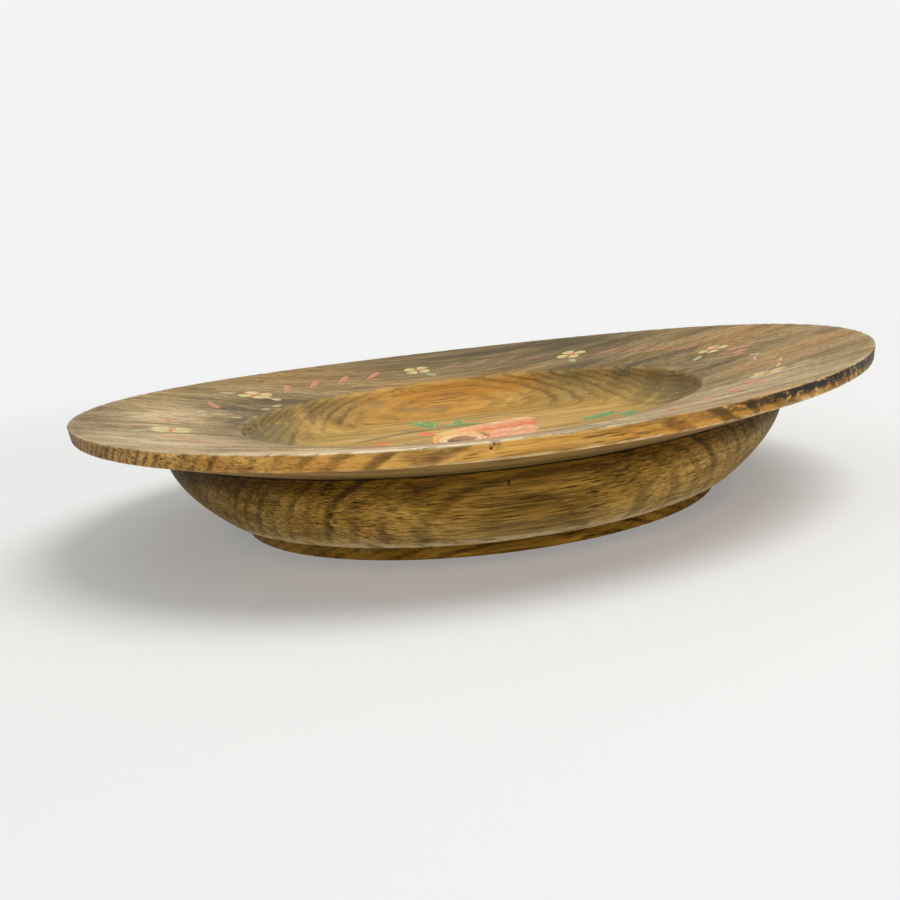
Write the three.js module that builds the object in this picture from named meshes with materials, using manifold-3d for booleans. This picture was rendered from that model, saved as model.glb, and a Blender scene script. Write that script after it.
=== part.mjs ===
// Painted wooden plate: a broad dished rim, a bowl with a flat floor and a low foot, turned from wood and
// painted with a garland round the rim and a rose on the floor of the well.
// Millimetres, +Z up. The origin is the middle of the foot's flat underside, and the grain runs along X.

import * as THREE from 'three';
import Module from 'manifold-3d';

// Sizes of the foot
const footRadius = 61.8;
const footHeight = 4.5;
const footEdgeRound = 0.8;
const spigotRadius = 22;
const spigotHeight = 3;

// Sizes of the bowl
const bowlBaseRadius = 67;
const bowlBaseRound = 1.2;
const shoulderRadius = 79.9;
const bowlHeight = 18.5;
const wallStraightDrop = 8.4;
const floorThickness = 11.9;
const coveWidth = 12.5;
const tongueInnerRadius = 66.3;
const tongueWidth = 5.4;
const tongueHeight = 1.5;

// Sizes of the rim
const rimRadius = 101.5;
const rimHeight = 10;
const rimEdgeThickness = 3.6;
const rimEdgeLean = 0.6;
const rimEdgeRound = 0.7;
const rimDish = 7.2;
const lipRadius = 60.5;
const lipRound = 0.8;

// Clearances, and the cupping of the old wood: along the grain it has risen, and across the grain it has sunk
const glueLine = 0.1;
const jointPlay = 0.3;
const cupRise = 1.42;

// Sizes of the painted garland on the rim
const paintThickness = 0.25;
const paintClearance = 0.15;
const thinPaintInset = 0.04;
const garlandInset = 3.5;
const petalLength = 5.4;
const petalHalfWidth = 1.5;
const petalRootRadius = 0.5;
const blossomCentreRadius = 1.2;
const blossomLeafClearance = 0.6;
const garlandLeafLength = 5.2;
const garlandLeafHalfWidth = 1.3;
const commaLength = 9.6;
const commaHalfWidth = 0.85;
const vineHalfWidth = 0.3;
const vineWave = 1.1;
const vineClearance = 1.6;
const budLength = 5;
const budHalfWidth = 1.5;
const tendrilLength = 11;
const tendrilHalfWidth = 0.4;

// Sizes of the painted rose on the floor
const heartRadius = 3.2;
const cupStrokeWidth = 2.6;
const innerPetalWidth = 3.6;
const outerPetalWidth = 4;
const turnedPetalWidth = 8;
const rosePetalClearance = 0.5;
const roseLeafHalfWidth = 2.9;
const roseBudLength = 5.5;
const roseBudHalfWidth = 1.7;
const stemHalfWidth = 0.45;

// Shapes of the strokes: how slowly each swells from its start, what brings its widest part up to its half
// width, how long its pointed ends are, and how far it bows and drops, as shares of its size
const petalSwell = 0.7;
const petalFullness = 2.26;
const commaFullness = 2.6;
const commaBowShare = 1 / 9;
const leafSwell = 0.8;
const leafBowShare = 0.25;
const lineEndShare = 0.25;
const tendrilBowShare = 0.125;
const tendrilDropShare = 0.2;
const petalRowSwell = 0.6;
const petalRowNarrowest = 0.35;

// How finely round forms are divided
const turnSteps = 80;
const wallSteps = 7;
const coveSteps = 6;
const roundSteps = 2;
const flatStep = 14;
const petalSteps = 5;
const commaSteps = 6;
const leafSteps = 7;
const dotSteps = 4;
const heartSteps = 8;
const lineSteps = 6;
const stepsPerWave = 6;
const stepsPerRosePetal = 8;

// Heights and the floor's radius, worked out from the sizes
const floorHeight = footHeight + floorThickness;
const shoulderHeight = footHeight + bowlHeight;
const rimTopHeight = shoulderHeight + rimHeight;
const lipHeight = rimTopHeight - rimDish;
const floorRadius = lipRadius - coveWidth;

// The garland runs along the middle of the rim, a little nearer to the lip
const garlandRadius = (rimRadius + lipRadius) / 2 - garlandInset;

const degrees = THREE.MathUtils.degToRad;

function point(radius, height, round = 0) {
  return { at: new THREE.Vector2(radius, height), round };
}

// Turns a list of corners into profile points: a corner with a round becomes a short curve.
function profileOf(corners) {
  const points = [];
  corners.forEach((corner, index) => {
    const before = corners[index - 1];
    const after = corners[index + 1];
    if (corner.round === 0 || !before || !after) {
      points.push(corner.at);
      return;
    }
    const toBefore = before.at.clone().sub(corner.at);
    const toAfter = after.at.clone().sub(corner.at);
    const cut = Math.min(corner.round, toBefore.length() / 2, toAfter.length() / 2);
    const start = corner.at.clone().add(toBefore.setLength(cut));
    const end = corner.at.clone().add(toAfter.setLength(cut));
    points.push(...new THREE.QuadraticBezierCurve(start, corner.at, end).getPoints(roundSteps));
  });
  return points;
}

// Points between two ends of a slope, close enough together to follow the cupped surface.
function slope(fromRadius, fromHeight, toRadius, toHeight) {
  const count = Math.max(1, Math.round(Math.abs(toRadius - fromRadius) / flatStep));
  const points = [];
  for (let index = 1; index < count; index += 1) {
    const share = index / count;
    const radius = THREE.MathUtils.lerp(fromRadius, toRadius, share);
    points.push(point(radius, THREE.MathUtils.lerp(fromHeight, toHeight, share)));
  }
  return points;
}

// The cupping fades out through the foot, so that the foot's underside stays flat.
function cupping(x, y, height) {
  const fade = THREE.MathUtils.clamp(height / footHeight, 0, 1);
  return fade * cupRise * (x * x - y * y) / (rimRadius * rimRadius);
}

function turned(corners) {
  const geometry = new THREE.LatheGeometry(profileOf(corners), turnSteps);
  geometry.rotateX(Math.PI / 2);
  const position = geometry.getAttribute('position');
  for (let index = 0; index < position.count; index += 1) {
    const x = position.getX(index);
    const y = position.getY(index);
    const z = position.getZ(index);
    position.setZ(index, z + cupping(x, y, z));
  }
  geometry.computeVertexNormals();
  return geometry;
}

// The cove is a quarter of an ellipse: upright at the lip and level where it runs out into the floor.
function coveRadiusAt(height) {
  const drop = (lipHeight - height) / (lipHeight - floorHeight);
  return floorRadius + coveWidth * Math.sqrt(1 - drop * drop);
}

function covePoints(fromHeight, toHeight, steps) {
  const depth = lipHeight - floorHeight;
  const start = Math.asin((lipHeight - fromHeight) / depth);
  const end = Math.asin((lipHeight - toHeight) / depth);
  const points = [];
  for (let index = 1; index < steps; index += 1) {
    const angle = THREE.MathUtils.lerp(start, end, index / steps);
    points.push(point(floorRadius + coveWidth * Math.cos(angle), lipHeight - depth * Math.sin(angle)));
  }
  return points;
}

// Foot: a flat disc with a spigot on top that is glued into the bowl.
function footGeometry() {
  return turned([
    point(0, 0),
    ...slope(0, 0, footRadius, 0),
    point(footRadius, 0, footEdgeRound),
    point(footRadius, footHeight),
    ...slope(footRadius, footHeight, spigotRadius, footHeight),
    point(spigotRadius, footHeight),
    point(spigotRadius, footHeight + spigotHeight),
    point(0, footHeight + spigotHeight),
  ]);
}

// Bowl: the wall falls straight from the shoulder and then bends in to the base.
function bowlGeometry() {
  const base = footHeight + glueLine;
  const socketRadius = spigotRadius + jointPlay;
  const socketTop = footHeight + spigotHeight + jointPlay;
  const tongueOuterRadius = tongueInnerRadius + tongueWidth;
  const wall = new THREE.QuadraticBezierCurve(
    new THREE.Vector2(bowlBaseRadius, base),
    new THREE.Vector2(shoulderRadius, shoulderHeight - wallStraightDrop),
    new THREE.Vector2(shoulderRadius, shoulderHeight),
  ).getPoints(wallSteps);
  return turned([
    point(0, socketTop),
    point(socketRadius, socketTop),
    point(socketRadius, base),
    ...slope(socketRadius, base, bowlBaseRadius, base),
    ...wall.map((at, index) => ({ at, round: index === 0 ? bowlBaseRound : 0 })),
    point(tongueOuterRadius, shoulderHeight),
    point(tongueOuterRadius, shoulderHeight + tongueHeight),
    point(tongueInnerRadius, shoulderHeight + tongueHeight),
    point(tongueInnerRadius, shoulderHeight),
    point(coveRadiusAt(shoulderHeight), shoulderHeight),
    ...covePoints(shoulderHeight, floorHeight, coveSteps),
    point(floorRadius, floorHeight),
    ...slope(floorRadius, floorHeight, 0, floorHeight),
    point(0, floorHeight),
  ]);
}

// Rim: a ring that sits on the bowl's shoulder, with a groove over the bowl's tongue.
function rimGeometry() {
  const seat = shoulderHeight + glueLine;
  const grooveTop = shoulderHeight + tongueHeight + jointPlay;
  const grooveInnerRadius = tongueInnerRadius - jointPlay;
  const grooveOuterRadius = tongueInnerRadius + tongueWidth + jointPlay;
  const edgeLowRadius = rimRadius - rimEdgeLean;
  const edgeLowHeight = rimTopHeight - rimEdgeThickness;
  const innerCorner = point(coveRadiusAt(seat), seat);
  return turned([
    innerCorner,
    point(grooveInnerRadius, seat),
    point(grooveInnerRadius, grooveTop),
    point(grooveOuterRadius, grooveTop),
    point(grooveOuterRadius, seat),
    point(shoulderRadius, seat),
    ...slope(shoulderRadius, seat, edgeLowRadius, edgeLowHeight),
    point(edgeLowRadius, edgeLowHeight, rimEdgeRound),
    point(rimRadius, rimTopHeight, rimEdgeRound),
    ...slope(rimRadius, rimTopHeight, lipRadius, lipHeight),
    point(lipRadius, lipHeight, lipRound),
    ...covePoints(lipHeight, seat, 2),
    innerCorner,
  ]);
}

// Places on the painted surfaces. On the rim, along is millimetres clockwise round the garland from a spot on
// it, and out is millimetres away from the plate's middle.
function onRim(angle) {
  return (along, out, lift) => {
    const radius = garlandRadius + out;
    const around = angle - along / garlandRadius;
    const x = radius * Math.cos(around);
    const y = radius * Math.sin(around);
    const rise = rimDish * (radius - lipRadius) / (rimRadius - lipRadius);
    const z = lipHeight + rise + paintClearance + lift;
    return new THREE.Vector3(x, y, z + cupping(x, y, z));
  };
}

function onFloor(x, y, lift) {
  const z = floorHeight + paintClearance + lift;
  return new THREE.Vector3(x, y, z + cupping(x, y, z));
}

// Coats of paint, by how far their two faces lie above the first one's underside. A thin coat joins thicker
// ones that it crosses, and a second coat lies on top of a dry one.
const coat = { low: 0, high: paintThickness };
const thinCoat = { low: thinPaintInset, high: paintThickness - thinPaintInset };
const secondCoat = {
  low: paintThickness + paintClearance,
  high: 2 * paintThickness + paintClearance,
};

// A closed solid between a coat's two faces. The outlines are flat, with the paint on their left, and faces
// are the triangles between all their points.
function paintSolid(outlines, faces, place, { low, high }) {
  const points = outlines.flat();
  const count = points.length;
  const vertices = [];
  points.forEach((at) => vertices.push(...place(at.x, at.y, low).toArray()));
  points.forEach((at) => vertices.push(...place(at.x, at.y, high).toArray()));
  const triangles = [];
  faces.forEach(([a, b, c]) => {
    triangles.push(count + a, count + b, count + c);
    triangles.push(c, b, a);
  });
  let first = 0;
  outlines.forEach((outline) => {
    outline.forEach((at, index) => {
      const here = first + index;
      const next = first + (index + 1) % outline.length;
      triangles.push(here, next, count + next);
      triangles.push(here, count + next, count + here);
    });
    first += outline.length;
  });
  const geometry = new THREE.BufferGeometry();
  geometry.setAttribute('position', new THREE.Float32BufferAttribute(vertices, 3));
  geometry.setIndex(triangles);
  return geometry;
}

// The two sides of a stroke at a share of the way along its flat curve.
function sidesAt(curve, share, halfWidth) {
  const middle = curve.getPoint(share);
  const aside = curve.getTangent(share).rotateAround(new THREE.Vector2(), Math.PI / 2).setLength(halfWidth);
  return { left: middle.clone().add(aside), right: middle.clone().sub(aside) };
}

// One brush stroke, pointed at both ends: widthAt gives its half width from start to end.
function brushStroke(curve, steps, widthAt, place, layer = coat) {
  const left = [];
  const right = [];
  for (let index = 1; index < steps; index += 1) {
    const sides = sidesAt(curve, index / steps, widthAt(index / steps));
    left.push(sides.left);
    right.push(sides.right);
  }
  const outline = [curve.getPoint(0), ...right, curve.getPoint(1), ...left.reverse()];
  const count = outline.length;
  const faces = [[0, 1, count - 1]];
  for (let index = 1; index < steps - 1; index += 1) {
    faces.push([index, index + 1, count - index]);
    faces.push([index + 1, count - index - 1, count - index]);
  }
  faces.push([steps - 1, steps, steps + 1]);
  return paintSolid([outline], faces, place, layer);
}

// A ring of paint along a closed flat curve that runs anticlockwise.
function brushRing(curve, steps, widthAt, place) {
  const inner = [];
  const outer = [];
  const faces = [];
  const innerAt = (index) => steps + (steps - index) % steps;
  for (let index = 0; index < steps; index += 1) {
    const sides = sidesAt(curve, index / steps, widthAt(index / steps));
    inner.push(sides.left);
    outer.push(sides.right);
    const next = (index + 1) % steps;
    faces.push([index, next, innerAt(index)]);
    faces.push([next, innerAt(next), innerAt(index)]);
  }
  const innerClockwise = [inner[0], ...inner.slice(1).reverse()];
  return paintSolid([outer, innerClockwise], faces, place, coat);
}

// Half widths of the strokes from start to end. A row of petals is drawn in where two of them meet.
const petalShape = (halfWidth) => (share) => {
  return halfWidth * petalFullness * share ** petalSwell * Math.sqrt(1 - share);
};
const commaShape = (halfWidth) => (share) => halfWidth * commaFullness * share * Math.sqrt(1 - share);
const leafShape = (halfWidth) => (share) => halfWidth * Math.sin(Math.PI * share) ** leafSwell;
const dotShape = (radius) => (share) => radius * Math.sqrt(4 * share * (1 - share));
const lineShape = (halfWidth) => (share) => {
  return halfWidth * Math.min(1, share / lineEndShare, (1 - share) / lineEndShare);
};
const petalRowShape = (width, count) => (share) => {
  const swell = Math.abs(Math.sin(Math.PI * count * share)) ** petalRowSwell;
  return (width / 2) * Math.max(petalRowNarrowest, swell);
};

// Joins strokes that cross each other into one solid.
const wasm = await Module();
wasm.setup();

function joined(geometries) {
  const solids = geometries.map((geometry) => new wasm.Manifold(new wasm.Mesh({
    numProp: 3,
    vertProperties: geometry.getAttribute('position').array,
    triVerts: new Uint32Array(geometry.getIndex().array),
  })));
  const mesh = solids.reduce((whole, solid) => whole.add(solid)).getMesh();
  const geometry = new THREE.BufferGeometry();
  geometry.setAttribute('position', new THREE.Float32BufferAttribute(mesh.vertProperties, 3));
  geometry.setIndex(new THREE.Uint32BufferAttribute(mesh.triVerts, 1));
  return geometry;
}

// A straight or bowed path from one flat point to another: bow is how far its middle stands to the left.
function path(start, end, bow = 0) {
  const middle = start.clone().add(end).multiplyScalar(0.5);
  const aside = end.clone().sub(start).rotateAround(new THREE.Vector2(), Math.PI / 2).normalize();
  return new THREE.QuadraticBezierCurve(start, middle.addScaledVector(aside, 2 * bow), end);
}

function across(centre, radius) {
  const side = new THREE.Vector2(radius, 0);
  return path(centre.clone().sub(side), centre.clone().add(side));
}

function polar(distance, direction) {
  return new THREE.Vector2(distance * Math.cos(direction), distance * Math.sin(direction));
}

class WavyLine extends THREE.Curve {
  constructor(length, wave, count) {
    super();
    this.length = length;
    this.wave = wave;
    this.count = count;
  }

  getPoint(share) {
    const rise = this.wave * Math.sin(2 * Math.PI * this.count * share);
    return new THREE.Vector2((share - 0.5) * this.length, rise);
  }
}

class RingArc extends THREE.Curve {
  constructor(centre, radius, start, end) {
    super();
    this.centre = centre;
    this.radius = radius;
    this.start = start;
    this.end = end;
  }

  getPoint(share) {
    return this.centre.clone().add(polar(this.radius, THREE.MathUtils.lerp(this.start, this.end, share)));
  }
}

// Garland: eight blossoms round the rim, each with a leaf, and a spray of commas in the gap after each one.
// The gaps at the two ends of the grain hold a bud, a tendril and one comma instead.
const garland = [
  { angle: 192, turn: 36, leafPointsOut: true, spray: true },
  { angle: 240, turn: 48, leafPointsOut: false, spray: true },
  { angle: 285, turn: 30, leafPointsOut: true, spray: true },
  { angle: 329.5, turn: 40, leafPointsOut: true, spray: false },
  { angle: 375.8, turn: 52, leafPointsOut: false, spray: true },
  { angle: 417.3, turn: 33, leafPointsOut: false, spray: true },
  { angle: 456, turn: 45, leafPointsOut: false, spray: true },
  { angle: 500.6, turn: 58, leafPointsOut: true, spray: false },
];
const petalsPerBlossom = 4;
const commasPerSpray = 4;
const commaLean = degrees(44);
const leafLean = degrees(14);
const endGapShares = { bud: 0.77, tendril: 0.52, comma: 0.29 };
const blossomReach = petalRootRadius + petalLength;

function blossomPetals(place, turn) {
  const middle = across(new THREE.Vector2(), blossomCentreRadius);
  const strokes = [brushStroke(middle, dotSteps, dotShape(blossomCentreRadius), place, thinCoat)];
  for (let petal = 0; petal < petalsPerBlossom; petal += 1) {
    const direction = turn + petal * 2 * Math.PI / petalsPerBlossom;
    const line = path(polar(petalRootRadius, direction), polar(blossomReach, direction));
    strokes.push(brushStroke(line, petalSteps, petalShape(petalHalfWidth), place));
  }
  return joined(strokes);
}

function blossomCentre(place) {
  const line = across(new THREE.Vector2(), blossomCentreRadius);
  return brushStroke(line, dotSteps, dotShape(blossomCentreRadius), place, secondCoat);
}

function blossomLeaf(place, pointsOut) {
  const side = pointsOut ? Math.PI / 2 : -Math.PI / 2;
  const start = blossomReach + blossomLeafClearance;
  const root = polar(start, side + leafLean);
  const tip = polar(start + garlandLeafLength, side + 2 * leafLean);
  const line = path(root, tip, leafBowShare * garlandLeafHalfWidth);
  return brushStroke(line, leafSteps, leafShape(garlandLeafHalfWidth), place);
}

function comma(along, place) {
  const middle = new THREE.Vector2(along, 0);
  const half = polar(commaLength / 2, commaLean);
  const line = path(middle.clone().sub(half), middle.clone().add(half), commaBowShare * commaLength);
  return brushStroke(line, commaSteps, commaShape(commaHalfWidth), place);
}

// A wavy vine with commas across it, between two blossoms a distance apart.
function spray(distance, place) {
  const length = distance - 2 * (blossomReach + vineClearance);
  const line = new WavyLine(length, vineWave, commasPerSpray);
  const strokes = [
    brushStroke(line, commasPerSpray * stepsPerWave, lineShape(vineHalfWidth), place, thinCoat),
  ];
  for (let index = 1; index <= commasPerSpray; index += 1) {
    const share = index / (commasPerSpray + 1);
    strokes.push(comma((share - 0.5) * distance, place));
  }
  return joined(strokes);
}

function bud(place) {
  const line = path(new THREE.Vector2(0, -budLength / 2), new THREE.Vector2(0, budLength / 2));
  return brushStroke(line, petalSteps, petalShape(budHalfWidth), place);
}

function tendril(place) {
  const end = new THREE.Vector2(tendrilLength / 2, -tendrilDropShare * tendrilLength);
  const line = path(end.clone().negate(), end, -tendrilBowShare * tendrilLength);
  return brushStroke(line, leafSteps, lineShape(tendrilHalfWidth), place);
}

// Rose: rings of petals round a heart, with two broad petals turned back on its right-hand side
const roseCentre = new THREE.Vector2(-4.6, -0.5);
const cupRingRadius = heartRadius + rosePetalClearance + cupStrokeWidth / 2;
const innerRingRadius = cupRingRadius + (cupStrokeWidth + innerPetalWidth) / 2 + rosePetalClearance;
const outerRingRadius = innerRingRadius + (innerPetalWidth + outerPetalWidth) / 2 + rosePetalClearance;
const turnedRingRadius = outerRingRadius + (outerPetalWidth + turnedPetalWidth) / 2 + rosePetalClearance;

// Rows of petals, anticlockwise from where each starts, in degrees
const roseRows = {
  cup: { petals: 2, start: 60, end: 420 },
  inner: { petals: 3, start: 20, end: 380 },
  outer: { petals: 5, start: -8, end: 352 },
  turned: { petals: 2, start: -56, end: 64 },
};

function roseHeart() {
  return brushStroke(across(roseCentre, heartRadius), heartSteps, dotShape(heartRadius), onFloor);
}

function petalRing(radius, width, { petals, start, end }) {
  const ring = new RingArc(roseCentre, radius, degrees(start), degrees(end));
  return brushRing(ring, petals * stepsPerRosePetal, petalRowShape(width, petals), onFloor);
}

function turnedPetals({ petals, start, end }) {
  const arc = new RingArc(roseCentre, turnedRingRadius, degrees(start), degrees(end));
  return brushStroke(arc, petals * stepsPerRosePetal, petalRowShape(turnedPetalWidth, petals), onFloor);
}

// Leaves, buds and stems lie round the rose: distance and direction are from its middle, in degrees, and turn
// is how much further round the tip points.
const roseLeaves = [
  { distance: 22.7, direction: 100, turn: 12, length: 13.9 },
  { distance: 24.5, direction: 76, turn: 26, length: 11.5 },
  { distance: 34.5, direction: 5, turn: 33, length: 14.2 },
  { distance: 43.1, direction: -3, turn: 49, length: 8 },
  { distance: 27, direction: -50, turn: -12, length: 13 },
  { distance: 17.5, direction: -105, turn: 12, length: 13 },
  { distance: 17.5, direction: -158, turn: -14, length: 13 },
];
const roseBuds = [
  { distance: 17.6, direction: 171, turn: 2 },
  { distance: 24, direction: 218, turn: -6 },
  { distance: 29, direction: -24, turn: 10 },
];
const roseStems = [
  { from: 16.4, fromDirection: 132, to: 27, toDirection: 160, bow: -1.6 },
  { from: 16.4, fromDirection: 222, to: 23.4, toDirection: 218, bow: 0.5 },
  { from: 24.4, fromDirection: -18, to: 28.4, toDirection: -24, bow: 0.3 },
];

function fromRose(distance, direction) {
  return roseCentre.clone().add(polar(distance, degrees(direction)));
}

function roseLeaf({ distance, direction, turn, length }) {
  const root = fromRose(distance, direction);
  const tip = root.clone().add(polar(length, degrees(direction + turn)));
  return brushStroke(path(root, tip, Math.sign(turn)), leafSteps, leafShape(roseLeafHalfWidth), onFloor);
}

function roseBud({ distance, direction, turn }) {
  const root = fromRose(distance, direction);
  const tip = root.clone().add(polar(roseBudLength, degrees(direction + turn)));
  return brushStroke(path(root, tip), leafSteps, petalShape(roseBudHalfWidth), onFloor);
}

function roseStem({ from, fromDirection, to, toDirection, bow }) {
  const line = path(fromRose(from, fromDirection), fromRose(to, toDirection), bow);
  return brushStroke(line, lineSteps, lineShape(stemHalfWidth), onFloor);
}

// Colours
const wood = (color) => new THREE.MeshStandardMaterial({ color, roughness: 0.62, metalness: 0 });
const paint = (color) => new THREE.MeshStandardMaterial({ color, roughness: 0.75, metalness: 0 });
const darkWood = wood(0x6b4a1c);
const brownWood = wood(0x927034);
const greyBrownWood = wood(0x8a734b);
const yellow = paint(0xd9c07a);
const orange = paint(0xcf7f52);
const coral = paint(0xc9705a);
const paleGreen = paint(0xb3b283);
const cream = paint(0xe3b27c);
const pink = paint(0xd98a78);
const red = paint(0xd4674f);
const brown = paint(0x9a5a3c);
const green = paint(0x5f9c6b);
const olive = paint(0x6e6440);

const plate = new THREE.Group();
plate.name = 'painted_plate';

function add(name, geometry, material) {
  const mesh = new THREE.Mesh(geometry, material);
  mesh.name = name;
  plate.add(mesh);
}

add('foot', footGeometry(), darkWood);
add('bowl', bowlGeometry(), brownWood);
add('rim', rimGeometry(), greyBrownWood);

garland.forEach((motif, index) => {
  const number = index + 1;
  const place = onRim(degrees(motif.angle));
  add(`blossom_${number}_petals`, blossomPetals(place, degrees(motif.turn)), yellow);
  add(`blossom_${number}_centre`, blossomCentre(place), orange);
  add(`blossom_${number}_leaf`, blossomLeaf(place, motif.leafPointsOut), paleGreen);
  const following = number < garland.length ? garland[number].angle : garland[0].angle + 360;
  const inGap = (share) => onRim(degrees(THREE.MathUtils.lerp(motif.angle, following, share)));
  if (motif.spray) {
    const distance = degrees(following - motif.angle) * garlandRadius;
    add(`spray_${number}`, spray(distance, inGap(0.5)), coral);
  } else {
    add(`end_bud_${number}`, bud(inGap(endGapShares.bud)), coral);
    add(`end_tendril_${number}`, tendril(inGap(endGapShares.tendril)), cream);
    add(`end_comma_${number}`, comma(0, inGap(endGapShares.comma)), coral);
  }
});

add('rose_heart', roseHeart(), brown);
add('rose_cup', petalRing(cupRingRadius, cupStrokeWidth, roseRows.cup), cream);
add('rose_inner_petals', petalRing(innerRingRadius, innerPetalWidth, roseRows.inner), pink);
add('rose_outer_petals', petalRing(outerRingRadius, outerPetalWidth, roseRows.outer), red);
add('rose_turned_petals', turnedPetals(roseRows.turned), pink);
roseLeaves.forEach((leaf, index) => add(`rose_leaf_${index + 1}`, roseLeaf(leaf), green));
roseBuds.forEach((flower, index) => add(`rose_bud_${index + 1}`, roseBud(flower), orange));
roseStems.forEach((stem, index) => add(`rose_stem_${index + 1}`, roseStem(stem), olive));

export default plate;
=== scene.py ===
"""Painted wooden plate: the finished surfaces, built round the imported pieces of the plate.

Sizes are in millimetres in the plate's own frame, and meshes are written in metres. The origin is the middle
of the foot's flat underside, +Z is up and the grain runs along X. Colours are written as 0 to 255.
"""

import logging
import math
import random
from dataclasses import dataclass, field, fields
from enum import Enum
from typing import Callable, Optional, Sequence, Union

import bmesh
import bpy
import numpy as np
from mathutils import Matrix, Vector, noise


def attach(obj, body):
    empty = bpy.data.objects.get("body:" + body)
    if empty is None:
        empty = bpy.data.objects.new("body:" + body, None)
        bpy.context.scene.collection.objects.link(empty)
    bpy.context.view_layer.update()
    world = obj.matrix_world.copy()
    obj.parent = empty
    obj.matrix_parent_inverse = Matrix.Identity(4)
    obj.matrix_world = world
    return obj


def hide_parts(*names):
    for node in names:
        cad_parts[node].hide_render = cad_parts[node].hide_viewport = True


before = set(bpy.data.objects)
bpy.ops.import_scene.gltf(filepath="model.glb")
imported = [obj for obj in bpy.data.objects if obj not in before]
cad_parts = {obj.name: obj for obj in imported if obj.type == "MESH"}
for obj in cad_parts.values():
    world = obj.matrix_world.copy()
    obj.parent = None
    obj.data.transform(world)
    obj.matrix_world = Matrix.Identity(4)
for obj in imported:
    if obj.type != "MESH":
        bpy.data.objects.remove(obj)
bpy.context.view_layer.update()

log = logging.getLogger("painted_plate")

METRES = 0.001
SHARP = math.radians(38)
WELD = 0.0015
BODY = "root"

Triple = tuple[float, float, float]
Spot = tuple[float, float]
Socket = bpy.types.NodeSocket
Value = Union[bpy.types.NodeSocket, float, Sequence[float]]
Line = Callable[[np.ndarray], np.ndarray]
Place = Callable[[np.ndarray, np.ndarray, np.ndarray], np.ndarray]


def linear(colour: Triple) -> Triple:
    """Turns a colour as it is written into the light values that shaders take."""
    shares = [part / 255 for part in colour]
    return tuple(part / 12.92 if part < 0.04 else ((part + 0.055) / 1.055) ** 2.4 for part in shares)


def ease(low: float, high: float, value: np.ndarray) -> np.ndarray:
    """Runs smoothly from 0 at low to 1 at high. High may lie below low."""
    share = np.clip((value - low) / (high - low), 0, 1)
    return share * share * (3 - 2 * share)


def curve(start: np.ndarray, bend: np.ndarray, end: np.ndarray, share: np.ndarray) -> np.ndarray:
    """Points on the even curve that runs from start to end and leans towards its bend."""
    return (1 - share) ** 2 * start + 2 * share * (1 - share) * bend + share**2 * end


@dataclass(frozen=True)
class PlateSizes:
    """The plate's sizes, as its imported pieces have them."""

    foot_radius: float = 61.8
    foot_height: float = 4.5
    foot_edge_round: float = 0.8
    spigot_radius: float = 22
    spigot_height: float = 3
    bowl_base_radius: float = 67
    bowl_base_round: float = 1.2
    shoulder_radius: float = 79.9
    bowl_height: float = 18.5
    wall_straight_drop: float = 8.4
    floor_thickness: float = 11.9
    cove_width: float = 12.5
    tongue_inner_radius: float = 66.3
    tongue_width: float = 5.4
    tongue_height: float = 1.5
    rim_radius: float = 101.36
    rim_height: float = 9.93
    rim_edge_thickness: float = 3.6
    rim_edge_lean: float = 0.6
    rim_edge_round: float = 0.45
    rim_dish: float = 7.2
    lip_radius: float = 60.5
    lip_round: float = 1.3
    glue_line: float = 0.1
    closed_joint: float = 0.01
    joint_play: float = 0.3
    cup_rise: float = 1.42
    garland_radius: float = 77.5

    @property
    def floor_height(self) -> float:
        """Height of the well's floor."""
        return self.foot_height + self.floor_thickness

    @property
    def shoulder_height(self) -> float:
        """Height of the bowl's shoulder, where the rim sits."""
        return self.foot_height + self.bowl_height

    @property
    def rim_top_height(self) -> float:
        """Height of the rim's outer edge."""
        return self.shoulder_height + self.rim_height

    @property
    def rim_corner_height(self) -> float:
        """Height of the lower corner of the rim's edge."""
        return self.rim_top_height - self.rim_edge_thickness

    @property
    def lip_height(self) -> float:
        """Height of the lip where the rim turns down into the well."""
        return self.rim_top_height - self.rim_dish

    @property
    def floor_radius(self) -> float:
        """Radius of the well's flat floor."""
        return self.lip_radius - self.cove_width

    def rim_level(self, radius: np.ndarray) -> np.ndarray:
        """Height of the rim's upper face at a radius."""
        rise = self.rim_dish * (radius - self.lip_radius) / (self.rim_radius - self.lip_radius)
        return self.lip_height + rise

    def cove_radius(self, height: float) -> float:
        """Radius of the well's cove at a height. The cove is a quarter of an ellipse."""
        drop = (self.lip_height - height) / (self.lip_height - self.floor_height)
        return self.floor_radius + self.cove_width * math.sqrt(1 - drop * drop)

    def cupped(self, x: np.ndarray, y: np.ndarray, z: np.ndarray) -> np.ndarray:
        """Moves points with the old wood, which has risen along the grain and sunk across it.

        Args:
            x: Where the points are along the grain.
            y: Where they are across it.
            z: Their heights. The warp fades out through the foot.

        Returns:
            The moved points.
        """
        fade = np.clip(z / self.foot_height, 0, 1)
        rise = fade * self.cup_rise * (x * x - y * y) / self.rim_radius**2
        return np.stack([x, y, z + rise], axis=-1)


PLATE = PlateSizes()


class Mark(Enum):
    """What a mesh says of each point. The level is in millimetres, and most of the rest are shares."""

    LEVEL = "level"
    SIDE = "side"
    UNDER = "under"
    WELL = "well"
    WORN = "worn"
    SOOT = "soot"
    # Besides smoky stains, this mark holds painted shade in the well's cove.
    SMOKE = "smoke"
    WARM = "warm"
    # Paler wood, and in places painted light and sheen.
    PALE = "pale"
    COVER = "cover"
    RUN = "run"
    LANE = "lane"
    TINT = "tint"


Marks = dict[Mark, np.ndarray]
Faces = Sequence[Sequence[int]]
Pair = tuple[np.ndarray, np.ndarray]


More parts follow.
